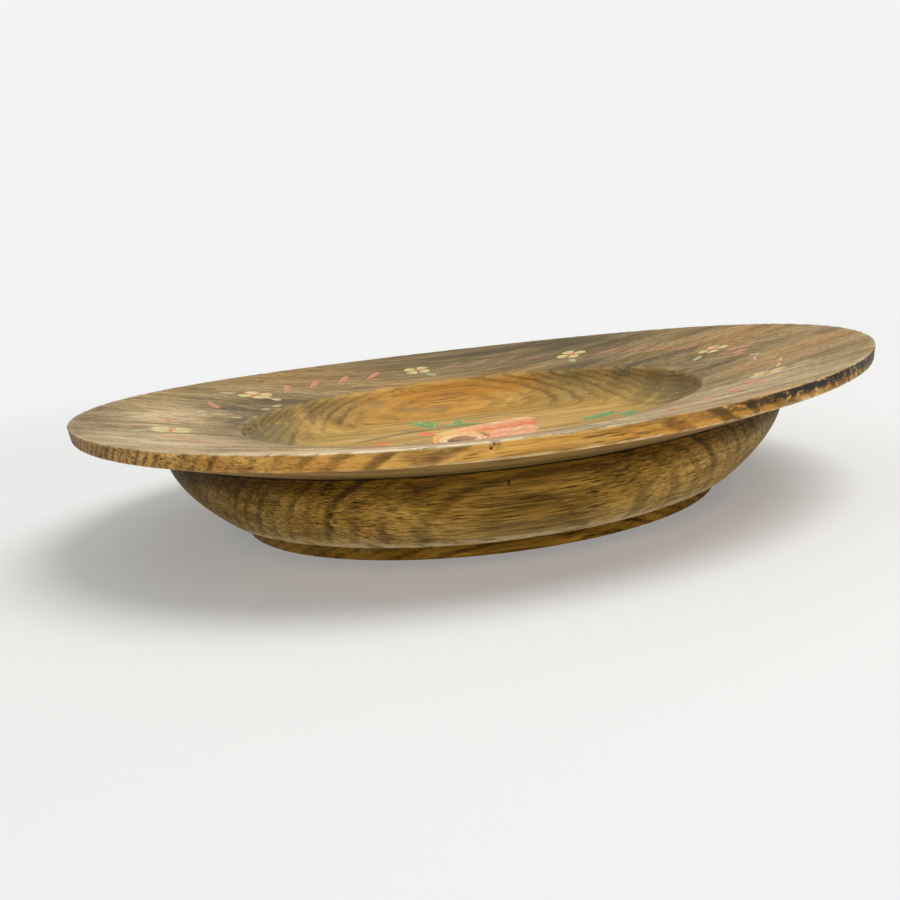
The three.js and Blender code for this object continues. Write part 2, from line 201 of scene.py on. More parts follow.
@dataclass(frozen=True)
class Texture:
    """Soft noise from 0 to 1, and how it is read.

    Attributes:
        grain: How long its specks are along X, Y and Z.
        layers: How many finer layers it has.
        rough: How strong the finer layers are.
        low: The noise that reads as least.
        high: The noise that reads as most.
        least: The least.
        most: The most.
    """

    grain: Triple
    layers: float = 2
    rough: float = 0.5
    low: float = 0
    high: float = 1
    least: float = 0
    most: float = 1


CLOUDS = Texture((55, 8, 8), 3, 0.6)
STREAKS = Texture((76, 4.2, 3.2), 3, 0.6)
FIBRES = Texture((24, 0.7, 0.38), 3, 0.65)
SMUDGES = Texture((18, 7, 7), 4, 0.65, low=0.52, high=0.68)
FLECKS = Texture((1.6, 0.8, 0.7), 3, 0.75, low=0.5, high=0.6)
PORES = Texture((11, 0.9, 0.28), 1, low=0.56, high=0.66)
PORE_BREAKS = Texture((7, 1.6, 1.6), 1, low=0.4, high=0.56)
PORE_DRIFTS = Texture((24, 8, 8), low=0.42, high=0.58, least=0.3)
BROAD_SWAY = Texture((80, 26, 26))
FINE_SWAY = Texture((14, 4, 4), 3, 0.6)
RING_PATCHES = Texture((30, 12, 12), low=0.36, high=0.6, least=0.5)
RING_GRIT = Texture((2.6, 0.5, 0.5), 2, 0.7, low=0.36, high=0.56, least=0.7)
TURNING_LINES = Texture((24, 24, 0.3), 2, 0.7, low=0.54, high=0.68)
RUBBED_SPOTS = Texture((6, 2, 2), 3, 0.7, low=0.38, high=0.58)
SOOT_BLOTCHES = Texture((2.2, 2.2, 1.2), 3, 0.7, low=0.39, high=0.49)
SCAR_EDGE = Texture((0.5, 0.5, 0.5), 1)
SEAM_DIRT = Texture((7, 3, 3), 3, 0.6)
PAINT_GRAIN = Texture((9, 0.5, 0.5))
PAINT_WEAR = Texture((3.5, 0.8, 0.8), 3, 0.6)


class Pen:
    """Draws shader nodes into a tree and links them."""

    def __init__(self, tree: bpy.types.NodeTree) -> None:
        """Takes the tree to draw in."""
        self.tree = tree

    def add(self, kind: str, **settings: object) -> bpy.types.Node:
        """Adds a node.

        Args:
            kind: The node's type.
            settings: Its options, by name.

        Returns:
            The node.
        """
        node = self.tree.nodes.new(kind)
        for name, value in settings.items():
            setattr(node, name, value)
        return node

    def feed(self, socket: Socket, value: Value) -> None:
        """Links a socket to another one, or sets its value.

        Args:
            socket: The socket to feed.
            value: The other socket, a number, a place or a colour.
        """
        if isinstance(value, bpy.types.NodeSocket):
            self.tree.links.new(value, socket)
        else:
            is_plain_colour = socket.type == "RGBA" and len(value) == 3
            socket.default_value = (*value, 1) if is_plain_colour else value

    def step(self, kind: str, operation: str, values: Sequence[Value]) -> bpy.types.Node:
        """Adds a node of arithmetic and feeds it.

        Args:
            kind: The node's type.
            operation: What it does.
            values: What goes in, in order.

        Returns:
            The node.
        """
        node = self.add(kind, operation=operation)
        for socket, value in zip(node.inputs, values):
            self.feed(socket, value)
        return node

    def math(self, operation: str, *values: Value) -> Socket:
        """One step of arithmetic."""
        return self.step("ShaderNodeMath", operation, values).outputs[0]

    def vector(self, operation: str, *values: Value) -> Socket:
        """One step of arithmetic on places."""
        outputs = self.step("ShaderNodeVectorMath", operation, values).outputs
        return outputs["Value" if operation == "LENGTH" else "Vector"]

    def product(self, first: Value, *others: Value) -> Value:
        """Multiplies numbers.

        Args:
            first: The first number.
            others: The numbers that it is multiplied by.

        Returns:
            The product.
        """
        for other in others:
            first = self.math("MULTIPLY", first, other)
        return first

    def scaled(self, value: Value, factor: Value, offset: Value) -> Socket:
        """Multiplies a number and adds another one."""
        return self.math("MULTIPLY_ADD", value, factor, offset)

    def largest(self, first: Value, *others: Value) -> Value:
        """Finds the largest of some numbers.

        Args:
            first: The first number.
            others: The other numbers.

        Returns:
            The largest.
        """
        for other in others:
            first = self.math("MAXIMUM", first, other)
        return first

    def span(self, value: Value, low: float, high: float, least: float = 0, most: float = 1) -> Socket:
        """Runs smoothly from one number to another.

        Args:
            value: What the run goes by.
            low: The value that gives the least.
            high: The value that gives the most. It may lie below low.
            least: The least.
            most: The most.

        Returns:
            The number.
        """
        node = self.add("ShaderNodeMapRange", interpolation_type="SMOOTHSTEP")
        numbers = {"Value": value, "From Min": low, "From Max": high, "To Min": least, "To Max": most}
        for name, number in numbers.items():
            self.feed(node.inputs[name], number)
        return node.outputs[0]

    def noise(self, place: Socket, texture: Texture) -> Socket:
        """Soft noise from 0 to 1.

        Args:
            place: Where to read it.
            texture: Its grain.

        Returns:
            The noise.
        """
        node = self.add("ShaderNodeTexNoise")
        scaled = self.vector("MULTIPLY", place, tuple(1 / length for length in texture.grain))
        numbers = {
            "Vector": scaled, "Scale": 1.0, "Detail": float(texture.layers), "Roughness": texture.rough,
        }
        for name, number in numbers.items():
            self.feed(node.inputs[name], number)
        return node.outputs[0]

    def texture(self, place: Socket, texture: Texture) -> Socket:
        """Soft noise, read between the texture's own limits."""
        return self.span(self.noise(place, texture), texture.low, texture.high, texture.least, texture.most)

    def swing(self, place: Socket, texture: Texture, reach: float) -> Socket:
        """Soft noise that swings to both sides of 0."""
        return self.scaled(self.noise(place, texture), 2 * reach, -reach)

    def speck(self, number: Socket) -> Socket:
        """A number from 0 to 1, drawn at random for each whole number.

        Args:
            number: The whole number.

        Returns:
            The drawn number.
        """
        node = self.add("ShaderNodeTexWhiteNoise", noise_dimensions="1D")
        self.feed(node.inputs["W"], number)
        return node.outputs["Value"]

    def mix(self, share: Value, first: Value, second: Value, way: str = "MIX") -> Socket:
        """Mixes two colours.

        Args:
            share: How much of the second there is.
            first: The first colour.
            second: The second colour.
            way: How they mix.

        Returns:
            The mixed colour.
        """
        node = self.add("ShaderNodeMix", data_type="RGBA", blend_type=way)
        for index, value in ((0, share), (6, first), (7, second)):
            self.feed(node.inputs[index], value)
        return node.outputs[2]

    def blend(self, share: Value, first: Value, second: Value) -> Socket:
        """Mixes two numbers.

        Args:
            share: How much of the second there is.
            first: The first number.
            second: The second number.

        Returns:
            The mixed number.
        """
        node = self.add("ShaderNodeMix", data_type="FLOAT")
        for index, value in ((0, share), (2, first), (3, second)):
            self.feed(node.inputs[index], value)
        return node.outputs[0]

    def x_of(self, place: Socket) -> Socket:
        """How far a place lies along the grain."""
        return self.parts(place)[0]

    def parts(self, place: Socket) -> bpy.types.NodeOutputs:
        """The X, Y and Z of a place.

        Args:
            place: The place, or a direction.

        Returns:
            Its three numbers.
        """
        node = self.add("ShaderNodeSeparateXYZ")
        self.feed(node.inputs[0], place)
        return node.outputs

    def mark(self, mark: Mark) -> Socket:
        """A number that the mesh holds for each of its points."""
        return self.add("ShaderNodeAttribute", attribute_name=mark.value).outputs["Fac"]

    def place(self) -> Socket:
        """The place on the plate, in millimetres."""
        spot = self.add("ShaderNodeTexCoord").outputs["Object"]
        return self.vector("MULTIPLY", spot, (1 / METRES,) * 3)


@dataclass(frozen=True)
class Stain:
    """A soft patch of another tone in the old wood: its middle, how far it spreads and how strong it is."""

    middle: Triple
    spread: Triple
    strength: float


STAINS = {
    # Smoky stains, and painted shade: the ones on the well's cove at its left and right ends and under its
    # far lip, at heights 20 to 22, darken it where the lip shades it.
    Mark.SMOKE: (
        Stain((-63, 29, 27), (11, 7, 6), 1.0), Stain((-53, 42, 27), (12, 6, 6), 0.8),
        Stain((-67, -21, 27), (7, 1.6, 4), 0.8), Stain((10, 90, 31), (36, 13, 5), 0.9),
        Stain((36, 80, 31), (26, 12, 5), 0.95), Stain((54, 70, 31), (18, 12, 5), 0.9),
        Stain((22, 66, 28), (26, 6, 6), 0.6), Stain((39, 50, 27), (16, 5, 4), 0.9),
        Stain((-60, 10, 22), (6, 32, 6), 0.8), Stain((6, -61, 2), (34, 20, 4), 0.4),
        Stain((12, 98, 31), (60, 12, 5), 0.35), Stain((-99, -20, 31), (9, 36, 6), 0.6),
        Stain((54, 33, 26), (9, 3, 4), 1.0), Stain((68, 31, 28), (9, 4, 4), 0.8),
        Stain((85, 4, 30), (12, 2.6, 4), 1.0), Stain((69, -2, 27), (8, 2.4, 4), 0.9),
        Stain((80, 53, 32), (8, 5, 4), 0.8), Stain((-20, 75, 29), (24, 5, 4), 0.5),
        Stain((-54, 5, 20), (13, 40, 9), 0.8), Stain((56, 5, 21), (11, 40, 9), 0.68),
        Stain((38, 44, 21), (20, 9, 8), 0.5), Stain((-38, 48, 22), (16, 7, 6), 0.5),
        Stain((78, -10, 15), (12, 30, 10), 0.5), Stain((72, 18, 28), (8, 3.5, 3), 0.9),
    ),
    Mark.WARM: (
        Stain((90, -12, 30.5), (12, 4, 4), 0.8), Stain((70, -19, 28), (11, 5, 4), 0.7),
        Stain((91, -14, 31), (14, 7, 4), 0.7), Stain((-50, 78, 30), (26, 9, 5), 0.5),
        Stain((0, 57, 21), (34, 9, 6), 1.0), Stain((-4, 47, 17), (26, 8, 4), 0.7),
        Stain((86, 30, 31), (16, 14, 4), 0.6), Stain((78, -26, 29), (14, 4, 3), 0.8),
        Stain((44, -90, 32.8), (38, 12, 1.2), 0.9),
    ),
    # Pale stains, partly paler wood and partly painted light: those on the near and left sides of the rim's
    # top stand in for its grazing sheen, and the one low on the foot's front left lightens it against shade.
    Mark.PALE: (
        Stain((-52, -34, 2), (26, 26, 4), 0.9), Stain((-14, -80, 12.4), (6, 4, 0.7), 0.5),
        Stain((-11, -80, 10.2), (7, 4, 0.5), 0.45), Stain((-82, 5, 29), (14, 24, 6), 0.8),
        Stain((-74, -42, 30), (26, 24, 6), 0.88), Stain((62, -48, 16), (30, 28, 9), 0.75),
        Stain((-30, -86, 31), (52, 16, 5), 1.0), Stain((45, -70, 30), (34, 16, 5), 0.6),
        Stain((-12, -100, 33.2), (46, 6, 1.5), 1.0), Stain((60, -48, 29), (20, 10, 5), 0.5),
        Stain((-66, 22, 28), (8, 3, 4), 0.5),
    ),
}


def stain_marks(points: np.ndarray) -> Marks:
    """How strongly the stains act at each point.

    Args:
        points: The points, on the cupped wood.

    Returns:
        A share for each point, by what the stains add.
    """
    sums = {mark: np.zeros(len(points)) for mark in STAINS}
    for mark, stains in STAINS.items():
        for stain in stains:
            steps = (points - np.array(stain.middle)) / np.array(stain.spread)
            share = stain.strength * np.exp(-(steps**2).sum(axis=1))
            sums[mark] = 1 - (1 - sums[mark]) * (1 - share)
    return sums


@dataclass(frozen=True)
class WoodTone:
    """The colours of one stretch of the old wood, how much it shines, and how plainly its grain shows."""

    light: Triple
    middle: Triple
    late: Triple
    smoke: Triple
    warm: Triple
    pale: Triple
    pore: Triple
    gloss: float = 0.1
    fibre: float = 0.5
    rings: float = 1.0
    thin: float = 1.0


RIM_TOP = WoodTone(
    light=(178, 148, 96), middle=(146, 118, 68), late=(84, 68, 38), smoke=(70, 62, 38), warm=(196, 138, 68),
    pale=(240, 212, 166), pore=(92, 76, 48), gloss=0.08, fibre=0.36, rings=0.75,
)
RIM_SIDE = WoodTone(
    light=(240, 186, 98), middle=(206, 148, 62), late=(62, 38, 12), smoke=(72, 48, 20), warm=(196, 112, 38),
    pale=(246, 212, 150), pore=(110, 72, 28), gloss=0.08, fibre=0.22, rings=2.2,
)
RIM_UNDER = WoodTone(
    light=(196, 158, 92), middle=(152, 116, 58), late=(100, 72, 30), smoke=(84, 66, 34), warm=(196, 150, 80),
    pale=(222, 190, 130), pore=(84, 62, 28), gloss=0.08, fibre=0.4, rings=1.1,
)
WELL = WoodTone(
    light=(218, 176, 98), middle=(192, 150, 74), late=(80, 66, 36), smoke=(118, 110, 82), warm=(204, 140, 54),
    pale=(224, 192, 132), pore=(130, 104, 56), gloss=0.12, fibre=0.2, rings=0.85,
)
WALL = WoodTone(
    light=(214, 168, 84), middle=(180, 134, 54), late=(48, 36, 12), smoke=(72, 60, 28), warm=(198, 136, 46),
    pale=(240, 200, 122), pore=(28, 20, 4), gloss=0.05, fibre=0.58, rings=1.6, thin=1.5,
)
FOOT = WoodTone(
    light=(204, 150, 52), middle=(156, 108, 24), late=(44, 26, 0), smoke=(54, 38, 8), warm=(176, 112, 26),
    pale=(196, 152, 76), pore=(34, 20, 2), gloss=0.05, fibre=0.4, rings=1.7, thin=1.3,
)


@dataclass(frozen=True)
class Scar:
    """A small dark mark in the surface: where its middle is, how far it reaches and how dark it is."""

    middle: Triple
    reach: Triple
    strength: float = 0.9


RIM_SCARS = (Scar((-7.3, -101, 31.2), (0.32, 2, 0.75), 0.8), Scar((-7.9, -101, 30.1), (0.45, 2, 0.32)))
BOWL_SCARS = (
    Scar((-2.6, -79.6, 19.2), (0.28, 3, 0.8)), Scar((-3.0, -79.6, 20.9), (0.2, 3, 0.3), 0.6),
    Scar((-43.5, 40.7, 21.1), (1.2, 4.5, 3), 0.3), Scar((-36.6, 42.6, 18.8), (2, 2.6, 1.6), 0.35),
    Scar((-31.6, 40.9, 17.4), (2.2, 2.4, 1.4), 0.4), Scar((-28.6, 34, 16.9), (2.6, 1.8, 1.4), 0.35),
)


@dataclass(frozen=True)
class Growth:
    """The growth layers of the plank: rings round a pith line that runs along the grain, above the plate."""

    pith_y: float = 14.9
    pith_z: float = 101.9
    pith_turn: float = 0.042
    near_distance: float = 84
    near_spacing: float = 1.45
    spacing_gain: float = 0.0207
    least_spacing: float = 0.2
    broad_sway: float = 1.0
    fine_sway: float = 0.6

    def rings(self, pen: Pen, place: Socket) -> Socket:
        """How many rings lie between a set distance from the pith and a place.

        Args:
            pen: Draws the nodes.
            place: The place.

        Returns:
            The ring number, with its fraction.
        """
        x, y, z = pen.parts(place)
        aside = pen.math("SUBTRACT", y, pen.scaled(x, self.pith_turn, self.pith_y))
        below = pen.math("SUBTRACT", z, self.pith_z)
        squares = pen.scaled(aside, aside, pen.product(below, below))
        broad = pen.swing(place, BROAD_SWAY, self.broad_sway)
        fine = pen.swing(place, FINE_SWAY, self.fine_sway)
        distance = pen.math("ADD", pen.math("SQRT", squares), pen.math("ADD", broad, fine))
        gained = pen.scaled(distance, self.spacing_gain, -self.near_distance * self.spacing_gain)
        ratio = pen.math("DIVIDE", pen.math("ADD", gained, self.near_spacing), self.near_spacing)
        ratio = pen.largest(ratio, self.least_spacing)
        return pen.math("DIVIDE", pen.math("LOGARITHM", ratio, math.e), self.spacing_gain)

    def late_wood(self, pen: Pen, place: Socket, thin: Value) -> Socket:
        """The dark late wood of each ring, which is speckled, patchy and of its own strength.

        Args:
            pen: Draws the nodes.
            place: The place.
            thin: How thin the dark lines are.

        Returns:
            How dark the wood is.
        """
        rings = self.rings(pen, place)
        phase = pen.math("FRACT", pen.math("ADD", rings, 0.35))
        line = pen.product(pen.span(phase, 0.36, 0.62), pen.span(phase, 0.78, 0.95, 1, 0))
        own = pen.span(pen.speck(pen.math("FLOOR", rings)), 0, 1, 0.5)
        speckled = pen.product(pen.texture(place, RING_PATCHES), pen.texture(place, RING_GRIT))
        return pen.product(pen.math("POWER", line, thin), own, speckled)


@dataclass
class OldWood:
    """The old wood of one turned piece: its colour, shine and relief, as a group of nodes.

    Attributes:
        name: The group's name.
        tones: The tone under None everywhere, and each other one where its mark is 1.
        seams: The levels of the joints, where dirt draws a dark line.
        scars: The small dark marks.
        firm: How little the sides take the pale stains, which hold paler wood and painted light.
        growth: The growth layers.
        low_wear: How much painted light lightens the wall above the foot.
        low_levels: Between which levels that painted light grows.
        cut_zone: Between which distances along the grain the wall comes to be cut across it.
        most_late: The most that late wood darkens.
        wax: The tint multiplied into the top of the wall, as painted shade under the rim.
        bare: The colour of wood that is worn bare.
        soot: The colour of the soot.
        bruise: The colour of the scars.
        dirt: The colour of the dirt in the joints.
    """

    name: str
    tones: dict[Optional[Mark], WoodTone]
    seams: Sequence[float] = ()
    scars: Sequence[Scar] = ()
    firm: float = 0.0
    growth: Growth = Growth()
    low_wear: float = 0.95
    low_levels: Spot = (13, 5.5)
    cut_zone: Spot = (26, 74)
    most_late: float = 0.72
    wax: Triple = (150, 136, 80)
    bare: Triple = (255, 244, 214)
    soot: Triple = (48, 44, 36)
    bruise: Triple = (40, 28, 14)
    dirt: Triple = (22, 15, 6)

    def __post_init__(self) -> None:
        """Makes the group, reads what all its layers share and draws it."""
        self.tree = bpy.data.node_groups.new(self.name, "ShaderNodeTree")
        for output in ("Color", "Roughness", "Gloss", "Height"):
            kind = "NodeSocketColor" if output == "Color" else "NodeSocketFloat"
            self.tree.interface.new_socket(output, in_out="OUTPUT", socket_type=kind)
        pen = self.pen = Pen(self.tree)
        self.place = pen.place()
        self.tone = {part.name: self._tone(part.name) for part in fields(WoodTone)}
        self.level, self.side, self.under = (pen.mark(mark) for mark in (Mark.LEVEL, Mark.SIDE, Mark.UNDER))
        self.clouds, self.streaks, self.fibres = (
            pen.noise(self.place, texture) for texture in (CLOUDS, STREAKS, FIBRES)
        )
        seen_above = pen.scaled(self.under, -1.0, 1.0)
        # Pale stains: paler wood, and painted light on the near and left sides of the rim's top and on the
        # foot's front left.
        self.bleach = pen.product(pen.mark(Mark.PALE), pen.scaled(self.side, -self.firm, 1.0), seen_above)
        self.unbleached = pen.scaled(self.bleach, -0.35, 1.0)
        self.across = pen.span(pen.math("ABSOLUTE", pen.x_of(self.place)), *self.cut_zone)
        self.late = self._late()
        pore_layers = (PORES, PORE_BREAKS, PORE_DRIFTS)
        self.pores = pen.product(*(pen.texture(self.place, layer) for layer in pore_layers))
        self._draw()

    def _tone(self, part: str) -> Value:
        """One colour or number of the tones, mixed by their marks.

        Args:
            part: Its name.

        Returns:
            The mixed colour or number.
        """
        value = None
        for mark, tone in self.tones.items():
            own = getattr(tone, part)
            is_colour = isinstance(own, tuple)
            own = linear(own) if is_colour else own
            if mark is None:
                value = own
            else:
                mixed = self.pen.mix if is_colour else self.pen.blend
                value = mixed(self.pen.mark(mark), value, own)
        return value

    def _late(self) -> Socket:
        """The late wood, stronger under smoky stains and painted shade, weaker where pale or cut across the
        grain.

        Returns:
            How dark the wood is.
        """
        pen = self.pen
        late = self.growth.late_wood(pen, self.place, self.tone["thin"])
        smoke_and_shade_gain = pen.scaled(pen.mark(Mark.SMOKE), 0.75, 0.5)
        cut_across = pen.scaled(pen.product(self.across, self.side), -0.28, 1.0)
        late = pen.product(late, smoke_and_shade_gain, self.tone["rings"], self.unbleached, cut_across)
        return pen.math("MINIMUM", late, self.most_late)

    def _stained(self) -> list[tuple[Value, str]]:
        """The warm, pale and smoky patches of the wood, with painted light and painted shade among them.

        Returns:
            How strongly each one acts, and the part of the tone that it adds.
        """
        pen, streaks = self.pen, self.streaks
        # The smoky stains, which also hold painted shade in the well's cove, with smudges and dark streaks.
        smoke = pen.largest(
            pen.product(pen.mark(Mark.SMOKE), pen.span(streaks, 0.36, 0.5, 0.4)),
            pen.product(pen.texture(self.place, SMUDGES), 0.5),
            pen.span(streaks, 0.56, 0.72, 0, 0.5),
        )
        # Painted light: the wall is lightened above the foot, broken up by the streaks.
        low = pen.product(pen.span(self.level, *self.low_levels), self.side, self.low_wear)
        lit_low = pen.product(low, pen.span(streaks, 0.6, 0.4, 0.5))
        return [
            (pen.product(pen.mark(Mark.WARM), pen.span(streaks, 0.3, 0.6, 0.4)), "warm"),
            (pen.product(self.bleach, pen.span(streaks, 0.62, 0.4, 0.45)), "pale"),
            (smoke, "smoke"),
            (lit_low, "pale"),
        ]

    def _grained(self) -> list[tuple[Value, str]]:
        """The rings, the fibres, the pores and what shows where the grain is cut across.

        Returns:
            How strongly each one acts, and the part of the tone that it adds.
        """
        pen = self.pen
        drawn = pen.product(self.tone["fibre"], self.unbleached)
        facing = pen.math("ABSOLUTE", pen.x_of(pen.add("ShaderNodeNewGeometry").outputs["Normal"]))
        end_grain = pen.product(pen.span(facing, 0.35, 0.95), pen.scaled(self.side, 0.2, 0.3))
        return [
            (self.late, "late"),
            (pen.product(pen.span(self.fibres, 0.46, 0.62), drawn), "late"),
            (pen.product(pen.span(self.fibres, 0.42, 0.3), drawn, 0.8), "pale"),
            (pen.product(self.pores, self.unbleached, 0.85), "pore"),
            (pen.product(pen.texture(self.place, FLECKS), self.across, self.side, 0.8), "smoke"),
            (end_grain, "smoke"),
        ]

    def _sheltered(self) -> list[tuple[Value, str]]:
        """Painted shade on the rim's underside, darker towards the joint with the bowl, and the turning lines
        on the wall.

        Returns:
            How strongly each one acts, and the part of the tone that it adds.
        """
        pen, shoulder = self.pen, PLATE.shoulder_height
        on_wall = pen.product(pen.span(self.level, shoulder + 0.4, shoulder + 0.1), self.side)
        return [
            # Painted shade: the rim's underside darkens towards the joint.
            (pen.product(self.under, pen.span(self.level, shoulder + 5, shoulder + 0.2, 0, 0.6)), "smoke"),
            (pen.product(pen.texture(self.place, TURNING_LINES), on_wall, 0.55), "late"),
        ]

    def _waxed(self, colour: Socket) -> Socket:
        """Paints shade onto the top of the wall under the rim, by multiplying in a darker olive tint.

        Args:
            colour: The colour so far.

        Returns:
            The new colour.
        """
        pen, shoulder = self.pen, PLATE.shoulder_height
        # Painted shade: the top of the wall darkens under the rim.
        high = pen.product(pen.span(self.level, shoulder - 8, shoulder - 1), self.side)
        shade_share = pen.product(high, pen.span(self.level, shoulder + 0.5, shoulder + 0.2))
        return pen.mix(shade_share, colour, pen.mix(1.0, colour, linear(self.wax), "MULTIPLY"))

    def _rubbed(self, colour: Socket) -> Socket:
        """Rubs the corners bare and blackens the end grain with soot.

        Args:
            colour: The colour so far.

        Returns:
            The new colour.
        """
        pen = self.pen
        worn = pen.product(pen.mark(Mark.WORN), pen.texture(self.place, RUBBED_SPOTS))
        colour = pen.mix(worn, colour, pen.mix(0.45, self.tone["pale"], linear(self.bare)))
        grime = pen.largest(pen.texture(self.place, SOOT_BLOTCHES), pen.product(self.late, 1.1))
        return pen.mix(pen.product(pen.mark(Mark.SOOT), grime), colour, linear(self.soot))

    def _scarred(self, colour: Socket) -> Socket:
        """Adds the small dark marks and the dirt in the joints.

        Args:
            colour: The colour so far.

        Returns:
            The new colour.
        """
        pen = self.pen
        for scar in self.scars:
            away = pen.vector("DIVIDE", pen.vector("SUBTRACT", self.place, scar.middle), scar.reach)
            ragged = pen.math("ADD", pen.vector("LENGTH", away), pen.noise(self.place, SCAR_EDGE))
            colour = pen.mix(pen.span(ragged, 1.8, 1.0, 0, scar.strength), colour, linear(self.bruise))
        for seam in self.seams:
            gap = pen.math("ABSOLUTE", pen.math("SUBTRACT", self.level, seam))
            ragged = pen.scaled(pen.noise(self.place, SEAM_DIRT), -0.9, pen.math("ADD", gap, 0.2))
            dirty = pen.product(pen.span(ragged, 0.2, -0.05), self.side, 0.92)
            colour = pen.mix(dirty, colour, linear(self.dirt))
        return colour

    def _draw(self) -> None:
        """Draws the layers, from the bare wood out to the dirt on it, and gives the group its outputs."""
        pen = self.pen
        colour = pen.mix(pen.span(self.clouds, 0.36, 0.62), self.tone["light"], self.tone["middle"])
        for share, part in (*self._stained(), *self._grained(), *self._sheltered()):
            colour = pen.mix(share, colour, self.tone[part])
        colour = self._scarred(self._rubbed(self._waxed(colour)))
        sunk = pen.math("ADD", pen.product(self.pores, 0.7), pen.product(self.late, 0.2))
        given = {
            "Color": colour,
            "Roughness": pen.span(self.clouds, 0.2, 0.8, 0.45, 0.6),
            "Gloss": self.tone["gloss"],
            "Height": pen.math("SUBTRACT", pen.product(self.fibres, 0.5), sunk),
        }
        out = pen.add("NodeGroupOutput")
        for name, value in given.items():
            pen.feed(out.inputs[name], value)

    def read(self, pen: Pen) -> bpy.types.NodeOutputs:
        """Puts the group into a material and gives its outputs."""
        return pen.add("ShaderNodeGroup", node_tree=self.tree).outputs


class Finish:
    """A material made round one principled shader."""

    relief: float = 0.15

    def __init__(self, name: str) -> None:
        """Makes the material and its shader.

        Args:
            name: The material's name.
        """
        self.material = bpy.data.materials.new(name)
        self.material.use_nodes = True
        self.pen = Pen(self.material.node_tree)
        self.shader = self.material.node_tree.nodes["Principled BSDF"]

    def dress(self, colour: Value, roughness: Value, gloss: Value, height: Value) -> None:
        """Feeds the shader.

        Args:
            colour: The surface's colour.
            roughness: How dull it is.
            gloss: How much it shines.
            height: Its relief, as a share of the finish's relief in millimetres.
        """
        bump = self.pen.add("ShaderNodeBump")
        bump.inputs["Distance"].default_value = self.relief * METRES
        bump.inputs["Strength"].default_value = 1
        self.pen.feed(bump.inputs["Height"], height)
        fed = {
            "Base Color": colour, "Roughness": roughness,
            "Specular IOR Level": gloss, "Normal": bump.outputs["Normal"],
        }
        for name, value in fed.items():
            self.pen.feed(self.shader.inputs[name], value)


class WoodFinish(Finish):
    """Bare old wood."""

    def __init__(self, name: str, wood: OldWood) -> None:
        """Dresses the material with the wood.

        Args:
            name: The material's name.
            wood: The wood.
        """
        super().__init__(name)
        outputs = wood.read(self.pen)
        self.dress(outputs["Color"], outputs["Roughness"], outputs["Gloss"], outputs["Height"])


@dataclass(frozen=True)
class PaintTone:
    """The colours of one paint: its body, and what the brush's lighter and darker sides leave.

    Attributes:
        name: The slot that the paint takes its finish from.
        body: The main colour.
        light: The lighter side of a stroke.
        dark: The darker side.
        turned: The main colour that the paint turns to across the rose, from -X to +X.
        turning: Between which two X it turns.
    """

    name: str
    body: Triple
    light: Triple
    dark: Triple
    turned: Optional[Triple] = None
    turning: Spot = (-5, 5)


class Paint(Enum):
    """The paints on the plate."""

    YELLOW = PaintTone("yellow_paint", (222, 202, 136), (244, 230, 176), (196, 164, 96))
    ORANGE = PaintTone("orange_paint", (236, 120, 78), (244, 164, 114), (208, 90, 62))
    CORAL = PaintTone("coral_paint", (214, 134, 110), (232, 166, 140), (184, 106, 82))
    PALE_GREEN = PaintTone("pale_green_paint", (182, 182, 132), (206, 208, 164), (146, 148, 98))
    CREAM = PaintTone("cream_paint", (250, 216, 156), (254, 236, 198), (242, 186, 110), (236, 196, 170))
    PINK = PaintTone("pink_paint", (248, 196, 126), (253, 224, 176), (236, 156, 92), (236, 160, 126))
    RED = PaintTone("red_paint", (246, 178, 92), (252, 206, 136), (222, 132, 72), (230, 108, 80), (0, 5))
    BROWN = PaintTone("brown_paint", (96, 80, 44), (176, 124, 96), (62, 50, 30), (186, 120, 100), (-7, -2))
    GREEN = PaintTone(
        "green_paint", (140, 174, 96), (176, 190, 110), (70, 128, 84), (84, 152, 94), (-14, -9.5)
    )
    OLIVE = PaintTone("olive_paint", (98, 84, 52), (122, 108, 68), (70, 60, 38))
    CHALK = PaintTone("cream_paint", (206, 190, 156), (224, 212, 184), (176, 158, 122))


